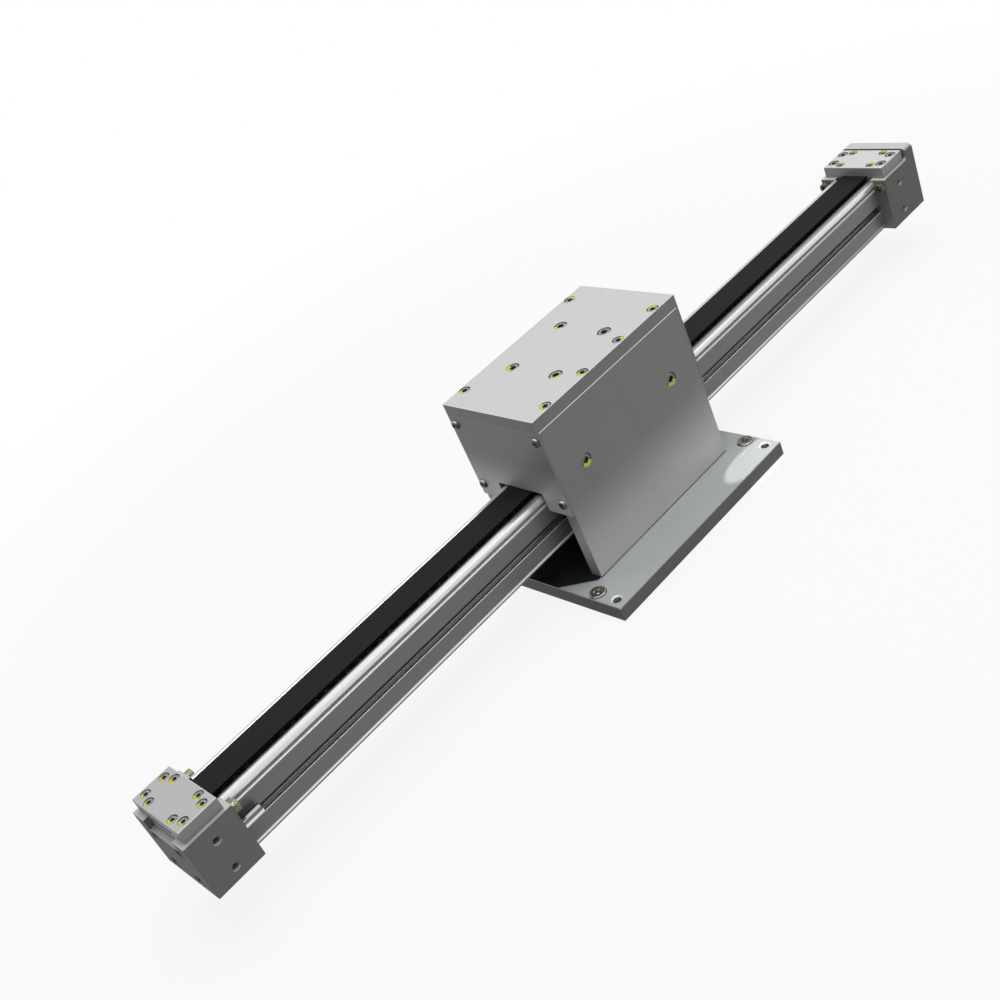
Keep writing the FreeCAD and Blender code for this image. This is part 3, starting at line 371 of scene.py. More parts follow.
def metalSurface(bench, finish):
    # colour, roughness and bump of a worked metal: cloudy, finely grained and faintly smudged,
    # with painted light on its faces and its edges
    coordinates = bench.add("ShaderNodeTexCoord")
    place = coordinates.out("Object")
    along = bench.add("ShaderNodeMapping", None, {"Vector": place, "Scale": finish["stretch"]})
    cloud = bench.noise(place, finish["cloudScale"], *metalSettings["cloudNoise"])
    grain = bench.noise(along, finish["grainScale"], *metalSettings["grainNoise"])
    smearScale = finish["cloudScale"] * metalSettings["smearFiner"]
    smears = bench.noise(along, smearScale, *metalSettings["smearNoise"])
    smears = smears.step(*metalSettings["smearRange"])
    faceWay = bench.add("ShaderNodeSeparateXYZ", None, {0: coordinates.out("Normal")})
    spot = bench.add("ShaderNodeSeparateXYZ", None, {0: place})
    # fade dims the painted highlights of edges and skirt along X
    fade = 1.0
    if "fade" in finish:
        fade = 1.0 - spot.out("X").step(*finish["fade"]) * metalSettings["fadeShare"]
    worked = litWorkedColour(bench, finish, spot, faceWay, fade)

    # broken edges and the rims of holes take painted light where they look up, a highlight on most
    # finishes
    broken = bench.add("ShaderNodeAttribute", {"attribute_name": "broken"}).out("Fac")
    facing = faceWay.out("Z").step(*metalSettings["facingRange"])
    onEdge = broken.step(*metalSettings["edgeRange"]) * facing * fade
    edged = bench.mixColour(onEdge, worked, opaque(finish["edge"]))
    onRim = broken.step(*metalSettings["rimRange"]) * facing
    plain = bench.mixColour(onRim, edged, opaque(finish.get("rim", finish["edge"])))

    # clouds make it darker and lighter, smears only darker
    gain = metalSettings["toneGain"]
    tone = cloud.swing() * gain * finish["cloud"] + grain.swing() * metalSettings["grainTone"]
    darker = bench.mixColour(metalSettings["darkerShare"], plain, opaque(black))
    lighter = bench.mixColour(metalSettings["lighterShare"], plain, opaque(white))
    shade = bench.maths("MAXIMUM", tone * -gain, 0.0)
    shine = bench.maths("MAXIMUM", tone * gain, 0.0) * worked.brightness()
    clouded = bench.mixColour(shine, bench.mixColour(shade, plain, darker), lighter)
    smudged = bench.mixColour(smears * finish["smudge"] * gain, clouded, darker)
    spread = grain.swing() * metalSettings["grainRoughness"]
    roughness = spread + smears * finish["smudge"] + finish["roughness"]
    return smudged, roughness, bench.bump(metalSettings["bump"], finish["grainDepth"], grain)


def newMaterial(name):
    material = bpy.data.materials.new(name)
    material.use_nodes = True
    material.node_tree.nodes.clear()
    return material, Bench(material.node_tree)


def finishSurface(bench, values):
    shader = bench.add("ShaderNodeBsdfPrincipled", None, values)
    bench.add("ShaderNodeOutputMaterial", None, {"Surface": shader})


def metal(name):
    finish = metalFinishes[name]
    material, bench = newMaterial(name)
    colour, roughness, bump = metalSurface(bench, finish)
    finishSurface(bench, {
        "Base Color": colour, "Metallic": finish["metallic"], "Roughness": roughness, "Normal": bump,
        "Specular IOR Level": finish.get("gloss", metalSettings["gloss"]),
    })
    return material


screwFinishes = {
    # steel is the colour of level faces, upright that of upright ones, shade that of stained spots;
    # upright is darker than steel, painted shade
    "stainlessScrews": {
        "steel": (0.50, 0.49, 0.47), "upright": grey(0.15), "shade": grey(0.14),
        "tint": (0.50, 0.49, 0.40), "metallic": 0.9, "roughness": 0.28,
    },
    "brightScrews": {
        "steel": (0.80, 0.80, 0.74), "upright": (0.62, 0.62, 0.58), "shade": (0.24, 0.24, 0.20),
        "tint": (0.62, 0.62, 0.52), "metallic": 0.9, "roughness": 0.22,
    },
    # the far tension screws: olive made darker, painted shade
    "darkOliveScrews": {
        "steel": (0.20, 0.20, 0.13), "upright": (0.11, 0.11, 0.07), "shade": (0.06, 0.06, 0.04),
        "tint": (0.22, 0.22, 0.10), "metallic": 0.5, "roughness": 0.38,
    },
    "oliveScrews": {
        "steel": (0.36, 0.36, 0.24), "upright": (0.24, 0.24, 0.15), "shade": (0.10, 0.10, 0.07),
        "tint": (0.40, 0.39, 0.16), "metallic": 0.5, "roughness": 0.38,
    },
}

screwSurface = {
    # a noise is its scale, detail and roughness
    "stain": (900.0, 3.0, 0.6), "speckle": (3200.0, 2.0, 0.5),
    "stainRange": (0.35, 0.7), "speckleRange": (0.4, 0.7), "levelRange": (0.3, 0.9),
    "bump": 0.5, "bumpDepth": 0.02 * mm, "spread": 0.16,
}


def screwSteel(name):
    # bright steel, stained in spots and dark where it stands upright, which is painted shade
    finish = screwFinishes[name]
    material, bench = newMaterial(name)
    coordinates = bench.add("ShaderNodeTexCoord")
    place = coordinates.out("Object")
    stain = bench.noise(place, *screwSurface["stain"])
    speckle = bench.noise(place, *screwSurface["speckle"])
    faceWay = bench.add("ShaderNodeSeparateXYZ", None, {0: coordinates.out("Normal")})
    levelFace = abs(faceWay.out("Z")).step(*screwSurface["levelRange"])
    speckled = speckle.step(*screwSurface["speckleRange"])
    bright = bench.mixColour(speckled, opaque(finish["steel"]), opaque(finish["tint"]))
    worked = bench.mixColour(levelFace, opaque(finish["upright"]), bright)
    unstained = stain.step(*screwSurface["stainRange"])
    finishSurface(bench, {
        "Base Color": bench.mixColour(unstained, opaque(finish["shade"]), worked),
        "Metallic": finish["metallic"],
        "Roughness": speckle.swing() * screwSurface["spread"] + finish["roughness"],
        "Normal": bench.bump(screwSurface["bump"], screwSurface["bumpDepth"], speckle),
    })
    return material


paintFinish = {
    "colour": (0.60, 0.58, 0.03), "thin": (0.42, 0.41, 0.05), "roughness": 0.42, "spread": 0.2,
    "blotch": (700.0, 4.0, 0.6), "blotchRange": (0.35, 0.65), "bump": 0.6, "bumpDepth": 0.05 * mm,
}


def markingPaint():
    material, bench = newMaterial("markingPaint")
    place = bench.add("ShaderNodeTexCoord").out("Object")
    blotch = bench.noise(place, *paintFinish["blotch"])
    thick = blotch.step(*paintFinish["blotchRange"])
    finishSurface(bench, {
        "Base Color": bench.mixColour(thick, opaque(paintFinish["thin"]), opaque(paintFinish["colour"])),
        "Roughness": blotch.swing() * paintFinish["spread"] + paintFinish["roughness"],
        "Normal": bench.bump(paintFinish["bump"], paintFinish["bumpDepth"], blotch),
    })
    return material


beltFinish = {
    "colour": (0.009, 0.009, 0.0095), "dust": (0.020, 0.020, 0.021), "side": grey(0.002),
    "roughness": 0.70, "spread": 0.25, "gloss": 0.10, "backRange": (0.5, 0.9),
    "dustNoise": (160.0, 5.0, 0.65), "dustRange": (0.45, 0.8), "dustShare": 0.5,
    "stretch": (0.15, 1.0, 1.0), "ribs": {"Scale": 420.0, "Distortion": 0.4, "Detail": 1.0},
    "bump": 0.35, "bumpDepth": 0.03 * mm, "ribHeight": 0.6, "dustHeight": 0.4,
}


def beltRubber():
    # black belt whose back is finely ribbed across and slightly dusty, its other faces darker as painted
    # shade
    material, bench = newMaterial("beltRubber")
    coordinates = bench.add("ShaderNodeTexCoord")
    place = coordinates.out("Object")
    along = bench.add("ShaderNodeMapping", None, {"Vector": place, "Scale": beltFinish["stretch"]})
    dust = bench.noise(along, *beltFinish["dustNoise"])
    ribs = bench.add(
        "ShaderNodeTexWave", {"bands_direction": "X"}, {"Vector": place, **beltFinish["ribs"]}
    ).out("Fac")
    height = ribs * beltFinish["ribHeight"] + dust * beltFinish["dustHeight"]
    dusty = dust.step(*beltFinish["dustRange"]) * beltFinish["dustShare"]
    back = bench.mixColour(dusty, opaque(beltFinish["colour"]), opaque(beltFinish["dust"]))
    faceWay = bench.add("ShaderNodeSeparateXYZ", None, {0: coordinates.out("Normal")})
    # painted shade: faces that don't look up take the darker side colour
    onBack = faceWay.out("Z").step(*beltFinish["backRange"])
    finishSurface(bench, {
        "Base Color": bench.mixColour(onBack, opaque(beltFinish["side"]), back),
        "Roughness": dust.swing() * beltFinish["spread"] + beltFinish["roughness"],
        "Specular IOR Level": beltFinish["gloss"],
        "Normal": bench.bump(beltFinish["bump"], beltFinish["bumpDepth"], height),
    })
    return material


materials = {name: metal(name) for name in metalFinishes}
materials.update({name: screwSteel(name) for name in screwFinishes})
materials["markingPaint"] = markingPaint()
materials["beltRubber"] = beltRubber()
print("materials made:", len(materials))


# Meshes read from the frame

mergeDistance = 0.001 * mm
flatAngle = 0.5         # degrees between triangles that count as one flat face


def mergedMesh(node):
    # a copy of a node's mesh with its doubles merged and its flat triangles joined
    mesh = frame["nodes"][node].data.copy()
    shape = bmesh.new()
    shape.from_mesh(mesh)
    bmesh.ops.remove_doubles(shape, verts=shape.verts, dist=mergeDistance)
    bmesh.ops.dissolve_limit(
        shape, angle_limit=math.radians(flatAngle), verts=shape.verts, edges=shape.edges
    )
    shape.to_mesh(mesh)
    shape.free()
    return mesh


def solidBoxes(node):
    # lowest and highest corner of each separate solid of a node, sorted along X, then Y, then Z
    shape = bmesh.new()
    shape.from_mesh(frame["nodes"][node].data)
    bmesh.ops.remove_doubles(shape, verts=shape.verts, dist=mergeDistance)
    left = set(shape.verts)
    boxes = []
    while left:
        reached = [left.pop()]
        low = reached[0].co.copy()
        high = reached[0].co.copy()
        while reached:
            vert = reached.pop()
            low = Vector(map(min, low, vert.co))
            high = Vector(map(max, high, vert.co))
            for edge in vert.link_edges:
                other = edge.other_vert(vert)
                if other in left:
                    left.remove(other)
                    reached.append(other)
        boxes.append((low, high))
    shape.free()
    return sorted(boxes, key=lambda box: [round(value, 4) for value in (box[0] + box[1]) / 2])


def bake(obj):
    # give the object its evaluated mesh in place of its modifiers
    mesh = bpy.data.meshes.new_from_object(obj.evaluated_get(bpy.context.evaluated_depsgraph_get()))
    obj.modifiers.clear()
    obj.data = mesh


def smooth(obj, angle):
    # smooth shading but for edges sharper than the angle, in degrees
    obj.data.shade_smooth()
    obj.data.set_sharp_from_angle(angle=math.radians(angle))


def newObject(name, data):
    obj = bpy.data.objects.new(name, data)
    bpy.context.scene.collection.objects.link(obj)
    return obj


# Plates, blocks and turned parts: the solids with broken edges and smooth curves

edgeSettings = {
    # angles in degrees, lengths in mm; a face is slanted when no part of its normal reaches slant
    # slanted faces narrower than widest and longer than shortest are broken edges, and those with
    # no edge as long as rimFacet are the rims of holes
    "segments": 2, "angle": 35.0, "smooth": 32.0,
    "slant": 0.80, "widest": 0.9, "shortest": 15.0, "rimFacet": 3.0,
}

dressing = {
    # node: (finish, broken edge in mm)
    "base_plate": ("basePlateGround", 0.0),
    "side_plate_right": ("sidePlateSatin", 0.40),
    "side_plate_left": ("sidePlateSatin", 0.40),
    "top_plate": ("topPlateSatin", 0.12),
    "end_cover_near": ("coverSheet", 0.20),
    "end_cover_far": ("coverSheet", 0.20),
    "end_block_near": ("blockMilled", 0.45),
    "end_block_far": ("farBlockMilled", 0.35),
    "clamp_plate_near": ("clampSatin", 0.25),
    "clamp_plate_far": ("farClampSatin", 0.25),
    "beam_profile": ("beamExtrusion", 0.35),
    "guide_shaft_right": ("polishedShaft", 0.0),
    "guide_shaft_left": ("brightShaft", 0.0),
    "stop_pin": ("pinSteel", 0.0),
    "belt_run": ("beltRubber", 0.0),
    "belt_loop": ("beltRubber", 0.0),
    "tooth_plate_near": ("innerAluminium", 0.0),
    "tooth_plate_far": ("innerAluminium", 0.0),
    "drive_bracket_right": ("innerAluminium", 0.25),
    "drive_bracket_left": ("innerAluminium", 0.25),
    "roller_carrier_right": ("innerAluminium", 0.20),
    "roller_carrier_left": ("innerAluminium", 0.20),
    "drive_pulley": ("innerAluminium", 0.0),
    "pulley_flanges": ("innerAluminium", 0.0),
    "idler_roller_near": ("innerAluminium", 0.0),
    "idler_roller_far": ("innerAluminium", 0.0),
    "drive_shaft": ("polishedShaft", 0.15),
    "guide_roller_near_right": ("bearingSteel", 0.0),
    "guide_roller_near_left": ("bearingSteel", 0.0),
    "guide_roller_far_right": ("bearingSteel", 0.0),
    "guide_roller_far_left": ("bearingSteel", 0.0),
    "drive_bearings": ("bearingSteel", 0.0),
}


def brokenness(face, corners):
    # 0 for a flat face, 1 for a straight broken edge and 2 for the rim of a hole
    length = max((corners[edge[0]].co - corners[edge[1]].co).length for edge in face.edge_keys)
    slanted = max(abs(part) for part in face.normal) < edgeSettings["slant"]
    if length < edgeSettings["rimFacet"] * mm:
        return 2.0 if face.material_index or slanted else 0.0
    narrow = face.area < length * edgeSettings["widest"] * mm and length > edgeSettings["shortest"] * mm
    return 1.0 if face.material_index or narrow and slanted else 0.0


def dress(node, finish, edge):
    # the faces of its broken edges are first told apart by their material slot, then by their attribute
    obj = newObject(node + "_dressed", mergedMesh(node))
    obj.data.materials.clear()
    for _ in range(2):
        obj.data.materials.append(materials[finish])
    obj.data.polygons.foreach_set("material_index", [0] * len(obj.data.polygons))
    if edge:
        bevel = obj.modifiers.new("broken edges", "BEVEL")
        bevel.width = edge * mm
        bevel.segments = edgeSettings["segments"]
        bevel.angle_limit = math.radians(edgeSettings["angle"])
        bevel.limit_method = "ANGLE"
        bevel.material = 1
        bake(obj)
    marked = edge or "rim" in metalFinishes.get(finish, {})
    broken = [brokenness(face, obj.data.vertices) if marked else 0.0 for face in obj.data.polygons]
    obj.data.materials.pop()
    obj.data.polygons.foreach_set("material_index", [0] * len(obj.data.polygons))
    obj.data.attributes.new("broken", "FLOAT", "FACE").data.foreach_set("value", broken)
    smooth(obj, edgeSettings["smooth"])
    obj.modifiers.new("even shading", "WEIGHTED_NORMAL").keep_sharp = True
    bake(obj)
    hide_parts(node)
    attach(obj, bodyOf[node])


for node, (finish, edge) in dressing.items():
    dress(node, finish, edge)
print("solids dressed:", len(dressing))

# The other solids keep their meshes; those of these slots are steel, the rest aluminium
plainFinish = {slot: "bearingSteel" for slot in ("shaft_steel", "bearing_steel", "screw_steel")}
for node, obj in frame["nodes"].items():
    if node not in dressing:
        finish = plainFinish.get(slotOf[node], "innerAluminium")
        obj.data.materials.clear()
        obj.data.materials.append(materials[finish])


# Screws, made at the places of the solids they replace

screwSizes = {
    # head radius, head height, shank radius and key radius (half the width across flats), in mm
    "M4": (3.5, 4.0, 2.0, 1.5),
    "M5": (4.25, 5.0, 2.5, 2.0),
    "M6": (5.0, 6.0, 3.0, 2.5),
    "M8": (6.5, 8.0, 4.0, 3.0),
    "button M4": (3.8, 2.2, 2.0, 1.25),
}

# Steps of a head above its seat: share of the head's height, share of its radius
capCrown = [(0.92, 1.0), (0.08, 0.90)]
buttonCrown = [(0.34, 1.0), (0.24, 0.93), (0.20, 0.82), (0.14, 0.68), (0.08, 0.50)]

keySettings = {
    # depth as a share of the head's height; the cone at its bottom as shares of the key's radius
    "depth": 0.5, "coneDepth": 0.4, "coneEnd": 0.15,
}
roundSides = 36
smoothAngles = {"screws": 30.0, "paint": 60.0, "threads": 20.0}


def treeWith(name, inputs):
    tree = bpy.data.node_groups.new(name, "GeometryNodeTree")
    tree.interface.new_socket("Geometry", in_out="OUTPUT", socket_type="NodeSocketGeometry")
    tree.interface.new_socket("Geometry", in_out="INPUT", socket_type="NodeSocketGeometry")
    for label, kind in inputs.items():
        tree.interface.new_socket(label, in_out="INPUT", socket_type=kind)
    bench = Bench(tree)
    entry = bench.add("NodeGroupInput")
    return tree, bench, entry


def setInputs(modifier, values):
    # a modifier's inputs are set by their sockets' identifiers
    for item in modifier.node_group.interface.items_tree:
        if item.item_type == "SOCKET" and item.in_out == "INPUT" and item.name in values:
            modifier[item.identifier] = values[item.name]


def turned(bench):
    # the turn that stands +Z along a point's headWay and lays +X along its markWay
    upright = bench.add(
        "FunctionNodeAlignRotationToVector", {"axis": "Z"}, {"Vector": namedVector(bench, "headWay")}
    )
    return bench.add(
        "FunctionNodeAlignRotationToVector",
        {"axis": "X", "pivot_axis": "Z"},
        {"Rotation": upright, "Vector": namedVector(bench, "markWay")},
    )


def namedVector(bench, name):
    return bench.add("GeometryNodeInputNamedAttribute", {"data_type": "FLOAT_VECTOR"}, {"Name": name})


def closeTree(bench, entry, shape, roughen=None):
    # one copy at each point of the input, made real, roughened if asked and given its material
    size = bench.add("GeometryNodeInputNamedAttribute", {"data_type": "FLOAT"}, {"Name": "size"})
    copies = bench.add("GeometryNodeInstanceOnPoints", None, {
        "Points": entry.out("Geometry"), "Instance": shape, "Rotation": turned(bench), "Scale": size,
    })
    real = bench.add("GeometryNodeRealizeInstances", None, {"Geometry": copies})
    worked = roughen(real) if roughen else real
    coloured = bench.add(
        "GeometryNodeSetMaterial", None, {"Geometry": worked, "Material": entry.out("Material")}
    )
    bench.add("NodeGroupOutput", None, {"Geometry": coloured})


def extruded(bench, shape, top, rise, scale):
    # push the top face up by rise, then scale it
    pushed = bench.add(
        "GeometryNodeExtrudeMesh",
        {"mode": "FACES"},
        {"Mesh": shape, "Selection": top, "Offset Scale": rise},
    )
    newTop = pushed.out("Top")
    scaled = bench.add(
        "GeometryNodeScaleElements",
        {"domain": "FACE"},
        {"Geometry": pushed, "Selection": newTop, "Scale": scale},
    )
    return scaled, newTop


def screwTree(name, crown):
    # a shank, a head in the crown's steps and its hexagon key, grown by pushing one face on and on
    tree, bench, entry = treeWith(name, {
        "Head Radius": "NodeSocketFloat",
        "Head Height": "NodeSocketFloat",
        "Shank Radius": "NodeSocketFloat",
        "Key Radius": "NodeSocketFloat",
        "Length": "NodeSocketFloat",
        "Material": "NodeSocketMaterial",
    })
    headRadius = entry.out("Head Radius")
    headHeight = entry.out("Head Height")
    shankRadius = entry.out("Shank Radius")
    keyRadius = entry.out("Key Radius")
    length = entry.out("Length")

    disc = bench.add(
        "GeometryNodeMeshCircle", {"fill_type": "NGON"}, {"Vertices": roundSides, "Radius": shankRadius}
    )
    low = bench.add("ShaderNodeCombineXYZ", None, {"Z": length * -1.0})
    start = bench.add("GeometryNodeTransform", None, {"Geometry": disc, "Translation": low})
    shape, top = extruded(bench, start, True, length, 1.0)
    shape, top = extruded(bench, shape, top, 0.0, headRadius / shankRadius)
    reached = 1.0
    for rise, share in crown:
        shape, top = extruded(bench, shape, top, headHeight * rise, share / reached)
        reached = share
    shape, top = extruded(bench, shape, top, 0.0, keyRadius / (headRadius * reached))
    shape = hexagon(bench, shape, top, keyRadius)
    shape, top = extruded(bench, shape, top, headHeight * -keySettings["depth"], 1.0)
    coneRise = keyRadius * -keySettings["coneDepth"]
    shape, top = extruded(bench, shape, top, coneRise, keySettings["coneEnd"])

    foot = bench.add("GeometryNodeFlipFaces", None, {"Mesh": start})
    whole = bench.add("GeometryNodeJoinGeometry")
    for piece in (shape, foot):
        tree.links.new(piece.socket, whole.socket.node.inputs[0])
    closed = bench.add(
        "GeometryNodeMergeByDistance", None, {"Geometry": whole, "Distance": mergeDistance}
    )
    closeTree(bench, entry, closed)
    return tree


def hexagon(bench, shape, top, keyRadius):
    # move the top face's round edge onto a hexagon whose flats lie keyRadius from its middle
    place = bench.add("ShaderNodeSeparateXYZ", None, {0: bench.add("GeometryNodeInputPosition")})
    angle = bench.maths("ARCTAN2", place.out("Y"), place.out("X"))
    sixth = bench.maths("FLOORED_MODULO", angle, math.pi / 3)
    radius = keyRadius / bench.maths("COSINE", sixth - math.pi / 6)
    moved = bench.add("ShaderNodeCombineXYZ", None, {
        "X": bench.maths("COSINE", angle) * radius,
        "Y": bench.maths("SINE", angle) * radius,
        "Z": place.out("Z"),
    })
    return bench.add(
        "GeometryNodeSetPosition", None, {"Geometry": shape, "Selection": top, "Position": moved}
    )


def pointsObject(name, places):
    # a mesh of loose points, each with the way its head and its mark point, and its size
    mesh = bpy.data.meshes.new(name)
    mesh.from_pydata([row[0] for row in places], [], [])
    for label, column in (("headWay", 1), ("markWay", 2)):
        attribute = mesh.attributes.new(label, "FLOAT_VECTOR", "POINT")
        for index, row in enumerate(places):
            attribute.data[index].vector = row[column]
    mesh.attributes.new("size", "FLOAT", "POINT").data.foreach_set("value", [row[3] for row in places])
    return newObject(name, mesh)


def grown(name, tree, places, values, smoothAngle):
    # run a tree on a set of points and keep the plain mesh
    obj = pointsObject(name, places)
    modifier = obj.modifiers.new(name, "NODES")
    modifier.node_group = tree
    setInputs(modifier, values)
    bake(obj)
    smooth(obj, smoothAngle)
    return obj


trees = {"cap": screwTree("cap screws", capCrown), "button": screwTree("button screws", buttonCrown)}

left, right = Vector((0, 1, 0)), Vector((0, -1, 0))
near, far = Vector((-1, 0, 0)), Vector((1, 0, 0))
up, down = Vector((0, 0, 1)), Vector((0, 0, -1))

screwSets = {
    # node: (way its heads look, or the rule for it, finish)
    "top_edge_screws": (up, "stainlessScrews"),
    "top_inner_screws": (up, "stainlessScrews"),
    "side_screws": ("outwardY", "stainlessScrews"),
    "clamp_screws_near": (up, "stainlessScrews"),
    "clamp_screws_far": (up, "stainlessScrews"),
    "base_screws": (up, "brightScrews"),
    "tension_screws": ("inwardX", "oliveScrews"),
    "end_screws_near": (near, "darkScrewSteel"),
    "end_screws_far": (far, "darkScrewSteel"),
    "foot_screws": (down, "darkScrewSteel"),
    "cover_screws": ("outwardX", "buttonSteel"),
}
buttonSets = {"cover_screws"}

# Screws in the far half with their own finish: the far clamp plate's are olive and darker, and the far
# tension screws darker, which is painted shade; and the size among them that stays bright and bare
farHalfFinishes = {"clamp_screws_far": "oliveScrews", "tension_screws": "darkOliveScrews"}
bareSizes = {"clamp_screws_far": "M5"}

# Where each painted head is marked, in the order of its solids; None leaves a head bare
paintMarks = {
    "top_edge_screws": [near + left, near, near, far + right, far + left, far],
    "top_inner_screws": [near + right, near + left, None, near],
    "side_screws": [down],
    "clamp_screws_near": [near],
    "clamp_screws_far": [far],
}
paintedHeads = []


def headWayOf(rule, middle):
    # the way the head of one screw looks: outward and inward are told by its solid's middle
    if rule == "outwardY":
        return left if middle.y > 0 else right
    if rule == "outwardX":
        return far if middle.x > 0 else near
    if rule == "inwardX":
        return near if middle.x > 0 else far
    return rule


def screwSize(button, headRadius):
    # the size whose head is nearest to that radius
    return min(
        (name for name in screwSizes if name.startswith("button") == button),
        key=lambda name: abs(screwSizes[name][0] * mm - headRadius),
    )


def screwSet(node, rule, finish):
    # the node's screws, in one object for each size, length and finish
    kinds = {}
    for index, (low, high) in enumerate(solidBoxes(node)):
        middle = (low + high) / 2
        headWay = headWayOf(rule, middle)
        extent = high - low
        lengthwise = abs(extent.dot(headWay))
        headRadius = max(abs(extent[axis]) for axis in range(3) if not headWay[axis]) / 2
        size = screwSize(node in buttonSets, headRadius)
        headHeight = screwSizes[size][1] * mm
        seat = middle + headWay * (lengthwise / 2 - headHeight)
        bare = bareSizes.get(node) == size
        # screws in the far half take their own finish; the far tension screws' darker one is painted
        # shade
        farHalfLook = node in farHalfFinishes and seat.x > 0 and not bare
        steel = farHalfFinishes[node] if farHalfLook else finish
        group = kinds.setdefault((size, round(lengthwise, 5), steel), [])
        group.append((seat, headWay, near if headWay.x == 0 else up, 1.0))
        marks = paintMarks.get(node, [None])
        mark = marks[index % len(marks)]
        if mark and not bare:
            rim = seat + headWay * headHeight
            paintedHeads.append((bodyOf[node], rim, headWay, mark.normalized(), headRadius))
    for (size, lengthwise, steel), places in kinds.items():
        headRadius, headHeight, shankRadius, keyRadius = (value * mm for value in screwSizes[size])
        values = {
            "Head Radius": headRadius,
            "Head Height": headHeight,
            "Shank Radius": shankRadius,
            "Key Radius": keyRadius,
            "Length": lengthwise - headHeight,
            "Material": materials[steel],
        }
        tree = trees["button" if size.startswith("button") else "cap"]
        name = node + "_" + size.replace(" ", "_") + "_" + steel
        obj = grown(name, tree, places, values, smoothAngles["screws"])
        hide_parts(node)
        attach(obj, bodyOf[node])


for node, (rule, finish) in screwSets.items():
    screwSet(node, rule, finish)
print("screw sets grown:", len(screwSets))


# Smears of marking paint round part of the heads' rims

smearSettings = {
    # sweep in degrees; reach is the arc's radius as a share of the head's, and width, thickness and
    # wobble are shares of the arc's; bluntness keeps its two ends from running out to nothing
    "sweep": 118.0, "reach": 0.80, "width": 0.40, "thickness": 0.08, "wobble": 0.26, "roughScale": 650.0,
    "bluntness": 0.004, "sunk": 0.05 * mm, "arcPoints": 28, "strandSides": 12,
}


def smearTree():
    # an arc of unit radius about +Z, thick in its middle, laid along each point's mark and roughened
    tree, bench, entry = treeWith("paint smears", {
        "Sweep": "NodeSocketFloat",
        "Width": "NodeSocketFloat",
        "Thickness": "NodeSocketFloat",
        "Wobble": "NodeSocketFloat",
        "Rough Scale": "NodeSocketFloat",
        "Material": "NodeSocketMaterial",
    })
    sweep = entry.out("Sweep")
    width = entry.out("Width")
    arc = bench.add(
        "GeometryNodeCurveArc",
        {"mode": "RADIUS"},
        {
            "Resolution": smearSettings["arcPoints"], "Radius": 1.0,
            "Start Angle": sweep * -0.5, "Sweep Angle": sweep,
        },
    )
    along = bench.add("GeometryNodeSplineParameter").out("Factor")
    fullness = bench.maths("SQRT", along * (1.0 - along) * 4.0 + smearSettings["bluntness"])
    tapered = bench.add("GeometryNodeSetCurveRadius", None, {"Curve": arc, "Radius": fullness})
    ring = bench.add(
        "GeometryNodeCurvePrimitiveCircle", None,
        {"Resolution": smearSettings["strandSides"], "Radius": width},
    )
    strand = bench.add(
        "GeometryNodeCurveToMesh", None, {"Curve": tapered, "Profile Curve": ring, "Fill Caps": True}
    )
    flatness = entry.out("Thickness") / width
    flatten = bench.add("ShaderNodeCombineXYZ", None, {"X": 1.0, "Y": 1.0, "Z": flatness})
    flat = bench.add("GeometryNodeTransform", None, {"Geometry": strand, "Scale": flatten})

    def roughen(real):
        size = bench.add("GeometryNodeInputNamedAttribute", {"data_type": "FLOAT"}, {"Name": "size"})
        push = bench.noise(bench.add("GeometryNodeInputPosition"), entry.out("Rough Scale")).swing()
        way = bench.add("GeometryNodeInputNormal")
        length = push * entry.out("Wobble") * size
        offset = bench.add("ShaderNodeVectorMath", {"operation": "SCALE"}, {0: way, "Scale": length})
        return bench.add("GeometryNodeSetPosition", None, {"Geometry": real, "Offset": offset})

    closeTree(bench, entry, flat, roughen)
    return tree


def paintSmears():
    # one object for each body that has painted heads
    tree = smearTree()
    for body in sorted({row[0] for row in paintedHeads}):
        places = [
            (rim - headWay * smearSettings["sunk"], headWay, markWay, radius * smearSettings["reach"])
            for owner, rim, headWay, markWay, radius in paintedHeads
            if owner == body
        ]
        values = {
            "Sweep": math.radians(smearSettings["sweep"]),
            "Width": smearSettings["width"],
            "Thickness": smearSettings["thickness"],
            "Wobble": smearSettings["wobble"],
            "Rough Scale": smearSettings["roughScale"],
            "Material": materials["markingPaint"],
        }
        smears = grown("paintSmears_" + body, tree, places, values, smoothAngles["paint"])
        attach(smears, body)


paintSmears()
print("paint on", len(paintedHeads), "heads")


# Threads cut in the tapped holes

threadSettings = {
    # mount: (depth in mm, pitch in mm)
    "base_threads": (10.8, 1.25),
    "near_block_right": (11.2, 1.0),
    "far_block_right": (11.2, 1.0),
}
threadRows = 8          # rows of points in one pitch
threadFlank = 0.55      # how far the wall moves sideways for its way down the hole
threadTurns = 40.0      # whole turns added, so that the wave is read above zero


